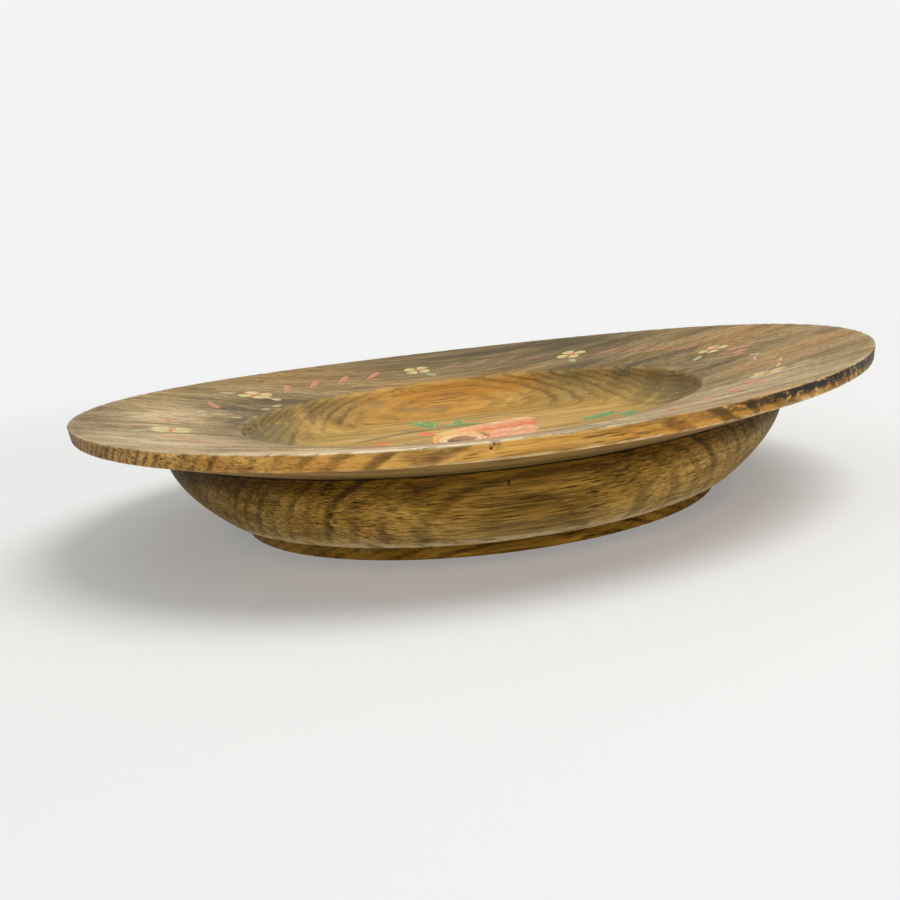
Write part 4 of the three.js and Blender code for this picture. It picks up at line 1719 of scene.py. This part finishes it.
@dataclass
class Garland:
    """Eight blossoms round the rim, with sprays of commas between them."""

    motifs: Sequence[Motif] = (
        Motif(192, 36, True, True, 1.1, 0.6), Motif(240, 48, False, True, 1, 0.7),
        Motif(285, 30, True, True), Motif(329.5, 40, True, False, 0.88),
        Motif(375.8, 52, False, True, 0.78, 0.42), Motif(417.3, 33, False, True, 0.9, 0.3),
        Motif(456, 45, False, True, 0.88), Motif(500.6, 58, True, False),
    )
    petals: int = 4
    petal_root: float = 0.9
    petal_length: float = 4.4
    petal_half_width: float = 2.4
    centre_radius: float = 1.2
    leaf_clearance: float = 0.6
    leaf_length: float = 5.2
    leaf_half_width: float = 1.3
    leaf_lean: float = 14
    comma_length: float = 11.8
    comma_half_width: float = 1.2
    comma_lean: float = 46
    comma_spread: float = 0.88
    comma_shift: float = -1.8
    commas: int = 4
    vine_cover: float = 0.4
    vine_half_width: float = 0.3
    vine_wave: float = 1.1
    vine_clearance: float = 1.6
    bud_length: float = 5
    bud_half_width: float = 1.5
    tendril_length: float = 11
    tendril_half_width: float = 0.4
    bud_share: float = 0.77
    tendril_share: float = 0.52
    comma_share: float = 0.29
    faded: float = 0.4

    @property
    def reach(self) -> float:
        """How far a blossom's petals reach from its middle."""
        return self.petal_root + self.petal_length

    def blossom(self, number: int, motif: Motif) -> list[PaintedPiece]:
        """Paints one blossom.

        Args:
            number: Its number.
            motif: Where and how large it is.

        Returns:
            Its petals, centre and leaf.
        """
        place, radius = on_rim(motif.angle), self.centre_radius
        ends = (self.petal_root, self.petal_root + self.petal_length * motif.size)
        turns = [motif.turn + petal * 360 / self.petals for petal in range(self.petals)]
        half_width = self.petal_half_width * motif.size
        petals = [dab(BrushShape.PETAL, *(polar(end, turn) for end in ends), half_width) for turn in turns]
        centre = dab(BrushShape.DOT, (-radius, 0), (radius, 0), radius, steps=10, lift=0.06, fade=0)
        facing = 90 if motif.leaf_points_out else -90
        root_distance = self.reach + self.leaf_clearance
        root = polar(root_distance, facing + self.leaf_lean)
        tip = polar(root_distance + self.leaf_length, facing + 2 * self.leaf_lean)
        leaf = dab(BrushShape.LEAF, root, tip, self.leaf_half_width, self.leaf_half_width / 4)
        return [
            PaintedPiece(f"blossom_{number}_petals", Paint.YELLOW, place, petals),
            PaintedPiece(f"blossom_{number}_centre", Paint.ORANGE, place, [centre]),
            PaintedPiece(f"blossom_{number}_leaf", Paint.PALE_GREEN, place, [leaf]),
        ]

    def comma(self, along: float, cover: float, is_turned: bool = False) -> Stroke:
        """A comma across the vine.

        Args:
            along: Where it is.
            cover: How much of it is left.
            is_turned: Whether its head is on the inner side.

        Returns:
            The stroke.
        """
        middle, half = np.array([along, 0.0]), polar(self.comma_length / 2, self.comma_lean)
        if is_turned:
            half = -polar(self.comma_length / 2, 90 - self.comma_lean)
        ends, bow = (middle - half, middle + half), -self.comma_length / 16
        extra = {"steps": 20, "lift": 0.035, "fade": 0.6, "cover": cover}
        return dab(BrushShape.COMMA, *ends, self.comma_half_width, bow, **extra)

    def spray(self, number: int, motif: Motif, gap: float) -> PaintedPiece:
        """A wavy vine with commas across it.

        Args:
            number: Its number.
            motif: The blossom before it.
            gap: How far round the next blossom is, in degrees.

        Returns:
            The spray.
        """
        distance = math.radians(gap) * PLATE.garland_radius
        length = distance - 2 * (self.reach + self.vine_clearance)

        def vine(share: np.ndarray) -> np.ndarray:
            """The vine's points."""
            wave = self.vine_wave * np.sin(2 * math.pi * self.commas * share)
            return np.stack([(share - 0.5) * length, wave], axis=1)

        def half_width(share: np.ndarray) -> np.ndarray:
            """The vine's half widths."""
            return self.vine_half_width * BrushShape.LINE.widths(share)

        line = Stroke(vine, half_width, steps=96, lanes=4, fade=0.1, cover=self.vine_cover)
        shares = [index / (self.commas + 1) - 0.5 for index in range(1, self.commas + 1)]
        spots = [self.comma_shift + share * distance * self.comma_spread for share in shares]
        strokes = [line, *(self.comma(spot, motif.cover) for spot in spots)]
        return PaintedPiece(f"spray_{number}", Paint.CORAL, on_rim(motif.angle + gap / 2), strokes)

    def end_gap(self, number: int, motif: Motif, gap: float) -> list[PaintedPiece]:
        """Fills a gap at the end of the grain. The last one's comma is turned.

        Args:
            number: The gap's number.
            motif: The blossom before it.
            gap: How far round the next blossom is, in degrees.

        Returns:
            The bud, the tendril and the comma.
        """
        is_last = number == len(self.motifs)
        x, y = self.tendril_length / 2, self.tendril_length / 5
        half_bud = self.bud_length / 2
        bud = dab(BrushShape.PETAL, (0, -half_bud), (0, half_bud), self.bud_half_width)
        extra = {"steps": 24, "lanes": 4, "cover": 0.5}
        width, bow = self.tendril_half_width, -self.tendril_length / 8
        tendril = dab(BrushShape.LINE, (-x, y), (x, -y), width, bow, **extra)
        comma = self.comma(0, 1 if is_last else self.faded, is_turned=is_last)
        parts = (
            ("bud", Paint.CORAL, self.bud_share, bud),
            ("tendril", Paint.CHALK, self.tendril_share, tendril),
            ("comma", Paint.CORAL, self.comma_share, comma),
        )
        return [
            PaintedPiece(f"end_{part}_{number}", paint, on_rim(motif.angle + gap * share), [stroke])
            for part, paint, share, stroke in parts
        ]

    def pieces(self) -> list[PaintedPiece]:
        """Paints the garland.

        Returns:
            All its pieces.
        """
        made: list[PaintedPiece] = []
        following = [*(motif.angle for motif in self.motifs[1:]), self.motifs[0].angle + 360]
        for number, (motif, angle) in enumerate(zip(self.motifs, following), start=1):
            gap = angle - motif.angle
            made.extend(self.blossom(number, motif))
            if motif.has_spray:
                made.append(self.spray(number, motif, gap))
            else:
                made.extend(self.end_gap(number, motif, gap))
        return made


@dataclass(frozen=True)
class Leaf:
    """A leaf by the rose.

    Attributes:
        distance: How far its root is from the rose's middle.
        direction: In which direction.
        turn: How much further its tip turns.
        length: Its length.
        bow: How far its middle stands to the left.
        shape: Its shape.
        strokes: Its own strokes from its root, where it has more than one.
    """

    distance: float
    direction: float
    turn: float = 0
    length: float = 13
    bow: float = 1
    shape: BrushShape = BrushShape.LEAF
    strokes: Sequence[tuple[BrushShape, Spot, Spot, float, float, dict[str, float]]] = ()


@dataclass(frozen=True)
class Stem:
    """A stem by the rose, from one distance and direction to another."""

    start: Spot
    end: Spot
    bow: float


@dataclass(frozen=True)
class PetalRow:
    """A row of petals round the rose's throat.

    Attributes:
        radius: The row's radius.
        width: The petals' width.
        squeeze: How much of the radius is left on the left and on the right of the throat.
        count: How many petals there are.
        start: Where the row starts, in degrees.
        lift: How far it lies above the wood.
        arc: How far round it goes, in degrees.
    """

    radius: float
    width: float
    squeeze: Spot
    count: int
    start: float
    lift: float
    arc: float = 360


@dataclass(frozen=True)
class Crescent:
    """One petal of a row, drawn from its far end so that its left side is its outer one."""

    row: PetalRow
    throat: Spot
    first: float
    last: float

    def turns(self, share: np.ndarray) -> np.ndarray:
        """The directions from the throat at shares of the way along."""
        return np.radians(self.last + (self.first - self.last) * share)

    def line(self, share: np.ndarray) -> np.ndarray:
        """The petal's middle line.

        Args:
            share: The shares of the way along.

        Returns:
            The flat points.
        """
        turns, (left, right) = self.turns(share), self.row.squeeze
        across, up = self.row.radius * np.cos(turns), self.row.radius * np.sin(turns)
        squeezed = across * (right + (left - right) * ease(3, -3, across))
        return np.array(self.throat) + np.stack([squeezed, up], axis=1)

    def half_width(self, share: np.ndarray) -> np.ndarray:
        """The petal's half widths, which are squeezed at the sides too."""
        slim = 1 - (1 - min(self.row.squeeze)) * np.cos(self.turns(share)) ** 2
        return self.row.width / 2 * slim * np.maximum(0.02, np.sin(math.pi * share)) ** 0.45


NamedStrokes = tuple[str, Paint, Sequence[Stroke]]


def numbered(kind: str, paint: Paint, groups: Sequence[Sequence[Stroke]]) -> list[NamedStrokes]:
    """Names groups of strokes by their kind and number."""
    return [(f"{kind}_{number}", paint, group) for number, group in enumerate(groups, start=1)]


BROAD_DAB = {"steps": 32, "lanes": 12, "fade": 0}
FULL_DAB = {"steps": 24, "lanes": 8}


@dataclass
class Rose:
    """The rose on the floor of the well, with its leaves, buds and stems."""

    centre: Spot = (-4.6, -0.5)
    throat: Spot = (-4.2, -5)
    heart: Sequence[Stroke] = (
        dab(BrushShape.DOT, (-7.64, -5), (0.53, -5), 4.6, steps=24, lanes=12, lift=0.09, fade=0),
        dab(BrushShape.LEAF, (2, 3.4), (3.4, -6), 0.8, 0.6, lift=0.09),
    )
    cup: PetalRow = PetalRow(7, 4, (0.5, 0.7), 2, 60, 0.07)
    inner: PetalRow = PetalRow(10.8, 4.6, (0.42, 0.54), 3, 20, 0.05)
    outer: PetalRow = PetalRow(15.2, 4.8, (0.4, 0.6), 4, 62, 0.035, 246)
    coral_petal: Stroke = dab(BrushShape.FAN, (1.6, 6), (19.4, 9.8), 4.2, 0.5, lift=0.06, **BROAD_DAB)
    turned_petals: Sequence[Stroke] = (
        dab(BrushShape.FAN, (-1.6, 5), (17.4, 6.8), 12.6, lift=0.01, cover=0.85, **BROAD_DAB),
        dab(BrushShape.FAN, (-8.4, 6.6), (20.2, 17.2), 5.4, 1.6, lift=0.045, **BROAD_DAB),
        dab(BrushShape.FAN, (1.2, -1.4), (17.8, 1.4), 5.6, -0.4, lift=0.03, **BROAD_DAB),
        dab(BrushShape.FAN, (1.4, -5.8), (15.8, -7.2), 5.2, 0.4, lift=0.024, **BROAD_DAB),
        dab(BrushShape.FAN, (0.6, -12.4), (13, -15.2), 5, 0.8, lift=0.018, **BROAD_DAB),
    )
    loose_bud: str = "side_bud"
    side_bud: Stroke = dab(BrushShape.PETAL, (-8.6, 12), (-14, 11.2), 4, 0.2, lift=0.03, fade=0.2)
    overlap: float = 9
    leaf_half_width: float = 2.9
    bud_length: float = 5.5
    bud_half_width: float = 1.7
    stem_half_width: float = 0.75
    leaves: Sequence[Leaf] = (
        Leaf(22.7, 100, strokes=(
            (BrushShape.PETAL, (-5.4, 16.8), (-0.4, 3.2), 1.2, 0.5, {"steps": 28, "lanes": 8}),
            (BrushShape.LEAF, (-0.6, 7), (-0.9, -1.2), 0.42, 0.3, {"lift": 0.035}),
        )),
        Leaf(24.5, 76, strokes=(
            (BrushShape.LEAF, (-2.6, -2.6), (-2.1, 10), 0.46, 0.3, {**FULL_DAB, "lift": 0.035}),
            (BrushShape.LEAF, (-10.2, -1.4), (3.2, -2.6), 0.85, 0.9, {"fade": 0.3}),
        )),
        Leaf(34.5, 5, 33, 14.2, -1, BrushShape.PETAL), Leaf(46, 0.9, 45, 8), Leaf(27, -50, -12, bow=-1),
        Leaf(17.5, -105, 12), Leaf(17.5, -158, -14, bow=-1),
    )
    buds: Sequence[Triple] = ((17.6, 171, 2), (24, 218, -6), (29, -24, 10))
    stems: Sequence[Stem] = (
        Stem((21, 104), (29.9, 163), -1.0), Stem((16.4, 222), (23.4, 218), 0.5),
        Stem((24.4, -18), (28.4, -24), 0.3),
    )

    def at(self, distance: float, direction: float) -> np.ndarray:
        """A flat point by its distance and direction from the rose's middle."""
        return np.array(self.centre) + polar(distance, direction)

    def petals(self, row: PetalRow) -> list[Stroke]:
        """The petals of one row, each a crescent that runs a little under the next.

        Args:
            row: The row.

        Returns:
            The strokes.
        """
        starts = [row.start + row.arc * index / row.count for index in range(row.count + 1)]
        crescents = [
            Crescent(row, self.throat, start - self.overlap, end + self.overlap)
            for start, end in zip(starts, starts[1:])
        ]
        return [
            Stroke(crescent.line, crescent.half_width, steps=32, lanes=10, fade=0.15, lift=row.lift)
            for crescent in crescents
        ]

    def leaf(self, leaf: Leaf) -> list[Stroke]:
        """Paints one leaf.

        Args:
            leaf: Where it is and how it lies.

        Returns:
            Its strokes.
        """
        root = self.at(leaf.distance, leaf.direction)
        if leaf.strokes:
            return [
                dab(shape, root + start, root + end, self.leaf_half_width * share, bow, **extra)
                for shape, start, end, share, bow, extra in leaf.strokes
            ]
        tip = root + polar(leaf.length, leaf.direction + leaf.turn)
        return [dab(leaf.shape, root, tip, self.leaf_half_width, leaf.bow, **FULL_DAB)]

    def bud(self, distance: float, direction: float, turn: float) -> Stroke:
        """Paints one bud.

        Args:
            distance: How far its root is from the rose's middle.
            direction: In which direction.
            turn: How much further its tip turns.

        Returns:
            Its stroke, from the root outwards.
        """
        root = self.at(distance, direction)
        tip = root + polar(self.bud_length, direction + turn)
        return dab(BrushShape.PETAL, root, tip, self.bud_half_width)

    def stem(self, stem: Stem) -> Stroke:
        """A stem by the rose."""
        ends = self.at(*stem.start), self.at(*stem.end)
        return dab(BrushShape.LINE, *ends, self.stem_half_width, stem.bow, lanes=4)

    def pieces(self) -> list[PaintedPiece]:
        """Paints the rose.

        Returns:
            All its pieces.
        """
        parts: list[NamedStrokes] = [
            ("heart", Paint.BROWN, self.heart),
            ("cup", Paint.CREAM, self.petals(self.cup)),
            ("inner_petals", Paint.PINK, self.petals(self.inner)),
            ("outer_petals", Paint.RED, [*self.petals(self.outer), self.coral_petal]),
            ("turned_petals", Paint.PINK, self.turned_petals),
            *numbered("leaf", Paint.GREEN, [self.leaf(leaf) for leaf in self.leaves]),
            *numbered("bud", Paint.ORANGE, [[self.bud(*bud)] for bud in self.buds]),
            (self.loose_bud, Paint.ORANGE, [self.side_bud]),
            *numbered("stem", Paint.OLIVE, [[self.stem(stem)] for stem in self.stems]),
        ]
        return [
            PaintedPiece(f"rose_{name}", paint, on_floor, list(strokes), is_node=name != self.loose_bud)
            for name, paint, strokes in parts
        ]


@dataclass(frozen=True)
class Touch:
    """A small touch of the brush on the rim: from where to where, how wide, and how much of it is left."""

    start: Spot
    end: Spot
    half_width: float
    cover: float = 0.8


@dataclass
class SmallTouches:
    """The painter's small touches, and what is left of faded strokes."""

    touches: dict[Paint, Sequence[Touch]] = field(default_factory=lambda: {
        Paint.YELLOW: (
            Touch((-68.6, -14.1), (-67.6, -14.1), 0.6), Touch((-66.9, -12.1), (-65.7, -12.1), 0.6),
            Touch((-69.9, 17.6), (-65.6, 17.1), 1.0, 0.6), Touch((-64.6, 14.3), (-61.2, 14.1), 0.9, 0.75),
            Touch((-58.2, 48.0), (-55.2, 45.0), 1.5, 0.95), Touch((-55.0, 44.9), (-52.0, 42.6), 1.4, 0.95),
        ),
        Paint.CHALK: (
            Touch((-57.2, 28.4), (-54.4, 30.4), 1.2, 0.5), Touch((-53.9, 32.9), (-51.8, 36.4), 1.2, 0.5),
            Touch((-74.0, -25.0), (-71.0, -25.2), 0.8, 0.7), Touch((76.4, -1.6), (78.2, -4.6), 0.9, 0.6),
            Touch((75.5, -16.6), (77.5, -18.2), 0.8, 0.55), Touch((77.8, -20.8), (74.6, -27.0), 0.6, 0.6),
            Touch((74.2, -28.6), (71.2, -34.6), 0.6, 0.6), Touch((-78.4, 1.2), (-76.9, -0.4), 0.7, 0.8),
        ),
        Paint.PALE_GREEN: (Touch((76.7, -8.2), (78.9, -9.8), 1.0, 0.7),),
        Paint.CORAL: (
            Touch((75.7, 12.9), (79.0, 13.2), 1.4, 0.8), Touch((78.6, 12.2), (81.4, 10.4), 1.2, 0.5),
            Touch((74.0, 2.1), (77.2, 5.8), 1.1, 0.45), Touch((-79.8, 3.4), (-77.2, 0.4), 0.9, 0.7),
        ),
    })

    def stroke(self, touch: Touch) -> Stroke:
        """The stroke of one touch."""
        extra = {"steps": 12, "lift": 0.03, "fade": 0.2, "cover": touch.cover}
        return dab(BrushShape.DOT, touch.start, touch.end, touch.half_width, **extra)

    def pieces(self) -> list[PaintedPiece]:
        """One piece for each paint.

        Returns:
            The pieces.
        """
        made: list[PaintedPiece] = []
        for paint, touches in self.touches.items():
            strokes = [self.stroke(touch) for touch in touches]
            name = f"small_touches_{paint.name.lower()}"
            made.append(PaintedPiece(name, paint, on_rim_flat, strokes, is_node=False))
        return made


@dataclass(frozen=True)
class Lamp:
    """One large soft round lamp, turned towards the plate."""

    name: str
    place: Triple
    size: float
    power: float

    def build(self) -> None:
        """Hangs the lamp."""
        data = bpy.data.lights.new(self.name, "AREA")
        data.shape, data.size, data.energy = "DISK", self.size * METRES, self.power
        lamp = bpy.data.objects.new(self.name, data)
        lamp.location = Vector(self.place) * METRES
        lamp.rotation_euler = Vector(self.place).to_track_quat("Z", "Y").to_euler()
        bpy.context.scene.collection.objects.link(lamp)


@dataclass(frozen=True)
class Studio:
    """A pale floor, soft light from above and the camera at the photograph's viewing angle.

    Attributes:
        eye: Where the camera is.
        right: The direction to the right in its picture.
        forward: The direction that it looks in.
        lens: Its focal length.
        sensor: The width of its sensor.
        floor_radius: How far the floor reaches.
        floor_colour: The floor's colour.
        glow: Where the floor starts to glow like the sky, where it glows in full, and its glow near by.
        sky: The sky's colour.
        sky_strength: How much light the sky gives.
        lamps: The lamps.
    """

    eye: Triple = (-31.4, -289.3, 63.7)
    right: Triple = (0.98892, -0.10339, -0.10657)
    forward: Triple = (0.08416, 0.98160, -0.17140)
    lens: float = 44
    sensor: float = 36
    floor_radius: float = 2600
    floor_colour: Triple = (238, 238, 236)
    glow: Triple = (150, 560, 0.24)
    sky: Triple = (243, 244, 243)
    sky_strength: float = 0.46
    lamps: Sequence[Lamp] = (
        Lamp("overhead_lamp", (760, -300, 1640), 1300, 23), Lamp("front_lamp", (-150, -1500, 330), 900, 5),
    )

    def build(self) -> None:
        """Sets up the floor, the light and the camera."""
        self._camera()
        self._world()
        self._floor()
        for lamp in self.lamps:
            lamp.build()
        bpy.context.scene.view_settings.view_transform = "Standard"

    def _camera(self) -> None:
        """Places the camera."""
        data = bpy.data.cameras.new("camera")
        data.lens, data.sensor_width = self.lens, self.sensor
        camera = bpy.data.objects.new("camera", data)
        right, back = Vector(self.right), -Vector(self.forward)
        turn = Matrix((right, back.cross(right), back)).transposed().to_4x4()
        camera.matrix_world = Matrix.Translation(Vector(self.eye) * METRES) @ turn
        bpy.context.scene.collection.objects.link(camera)
        bpy.context.scene.camera = camera

    def _world(self) -> None:
        """Makes an even sky, which the camera and reflections see at full strength."""
        world = bpy.data.worlds.new("sky")
        world.use_nodes = True
        pen = Pen(world.node_tree)
        sky = world.node_tree.nodes["Background"]
        pen.feed(sky.inputs["Color"], linear(self.sky))
        pen.feed(sky.inputs["Strength"], self._seen(pen, self.sky_strength))
        bpy.context.scene.world = world

    def _seen(self, pen: Pen, lights: float) -> Socket:
        """Gives one strength, 1, to what looks at a surface, and another to the light that it gives.

        Args:
            pen: Draws the nodes.
            lights: The strength of the light.

        Returns:
            The strength.
        """
        path = pen.add("ShaderNodeLightPath").outputs
        looks = pen.largest(path["Is Camera Ray"], path["Is Glossy Ray"], path["Is Transmission Ray"])
        return pen.scaled(looks, 1 - lights, lights)

    def _pale(self) -> bpy.types.Material:
        """The floor's finish, which fades into the sky far out.

        Returns:
            The material.
        """
        material = bpy.data.materials.new("pale_floor")
        material.use_nodes = True
        pen = Pen(material.node_tree)
        shader = material.node_tree.nodes["Principled BSDF"]
        glow, both = pen.add("ShaderNodeEmission"), pen.add("ShaderNodeMixShader")
        start, full, near_by = self.glow
        far = pen.span(pen.vector("LENGTH", pen.place()), start, full, near_by)
        fed = (
            (shader.inputs["Base Color"], linear(self.floor_colour)), (shader.inputs["Roughness"], 0.9),
            (shader.inputs["Specular IOR Level"], 0.2), (glow.inputs["Color"], linear(self.sky)),
            (glow.inputs["Strength"], 1.0), (both.inputs[0], pen.product(far, self._seen(pen, 0.0))),
            (both.inputs[1], shader.outputs[0]), (both.inputs[2], glow.outputs[0]),
            (material.node_tree.nodes["Material Output"].inputs["Surface"], both.outputs[0]),
        )
        for socket, value in fed:
            pen.feed(socket, value)
        return material

    def _floor(self) -> None:
        """Lays a round pale floor under the foot."""
        mesh = bpy.data.meshes.new("floor")
        work = bmesh.new()
        bmesh.ops.create_circle(work, cap_ends=True, segments=96, radius=self.floor_radius * METRES)
        work.to_mesh(mesh)
        work.free()
        mesh.materials.append(self._pale())
        floor = bpy.data.objects.new("floor", mesh)
        bpy.context.scene.collection.objects.link(floor)


def woods() -> dict[str, OldWood]:
    """Makes the wood of the three turned pieces.

    Returns:
        The woods, by the name of their piece.
    """
    rim_tones = {None: RIM_TOP, Mark.WELL: WELL, Mark.UNDER: RIM_UNDER, Mark.SIDE: RIM_SIDE}
    bowl_seams = (PLATE.shoulder_height, PLATE.foot_height + PLATE.glue_line)
    return {
        "rim": OldWood("rim_wood", rim_tones, scars=RIM_SCARS, firm=0.85),
        "bowl": OldWood("bowl_wood", {None: WELL, Mark.SIDE: WALL}, bowl_seams, BOWL_SCARS),
        "foot": OldWood("foot_wood", {None: FOOT}, (PLATE.foot_height,)),
    }


def main() -> None:
    """Builds the studio, the turned pieces and the painting."""
    logging.basicConfig(level=logging.INFO, format="%(name)s %(message)s")
    Studio().build()
    wood = woods()
    for turned in (Foot(), Bowl(), Rim()):
        turned.build(wood[turned.name])
    rim_paints, well_paints = (
        {paint: PaintFinish(paint.value, wood[name]) for paint in Paint} for name in ("rim", "bowl")
    )
    for painting, paints in ((Garland(), rim_paints), (Rose(), well_paints), (SmallTouches(), rim_paints)):
        for piece in painting.pieces():
            piece.build(paints)


if __name__ == "__main__":
    main()
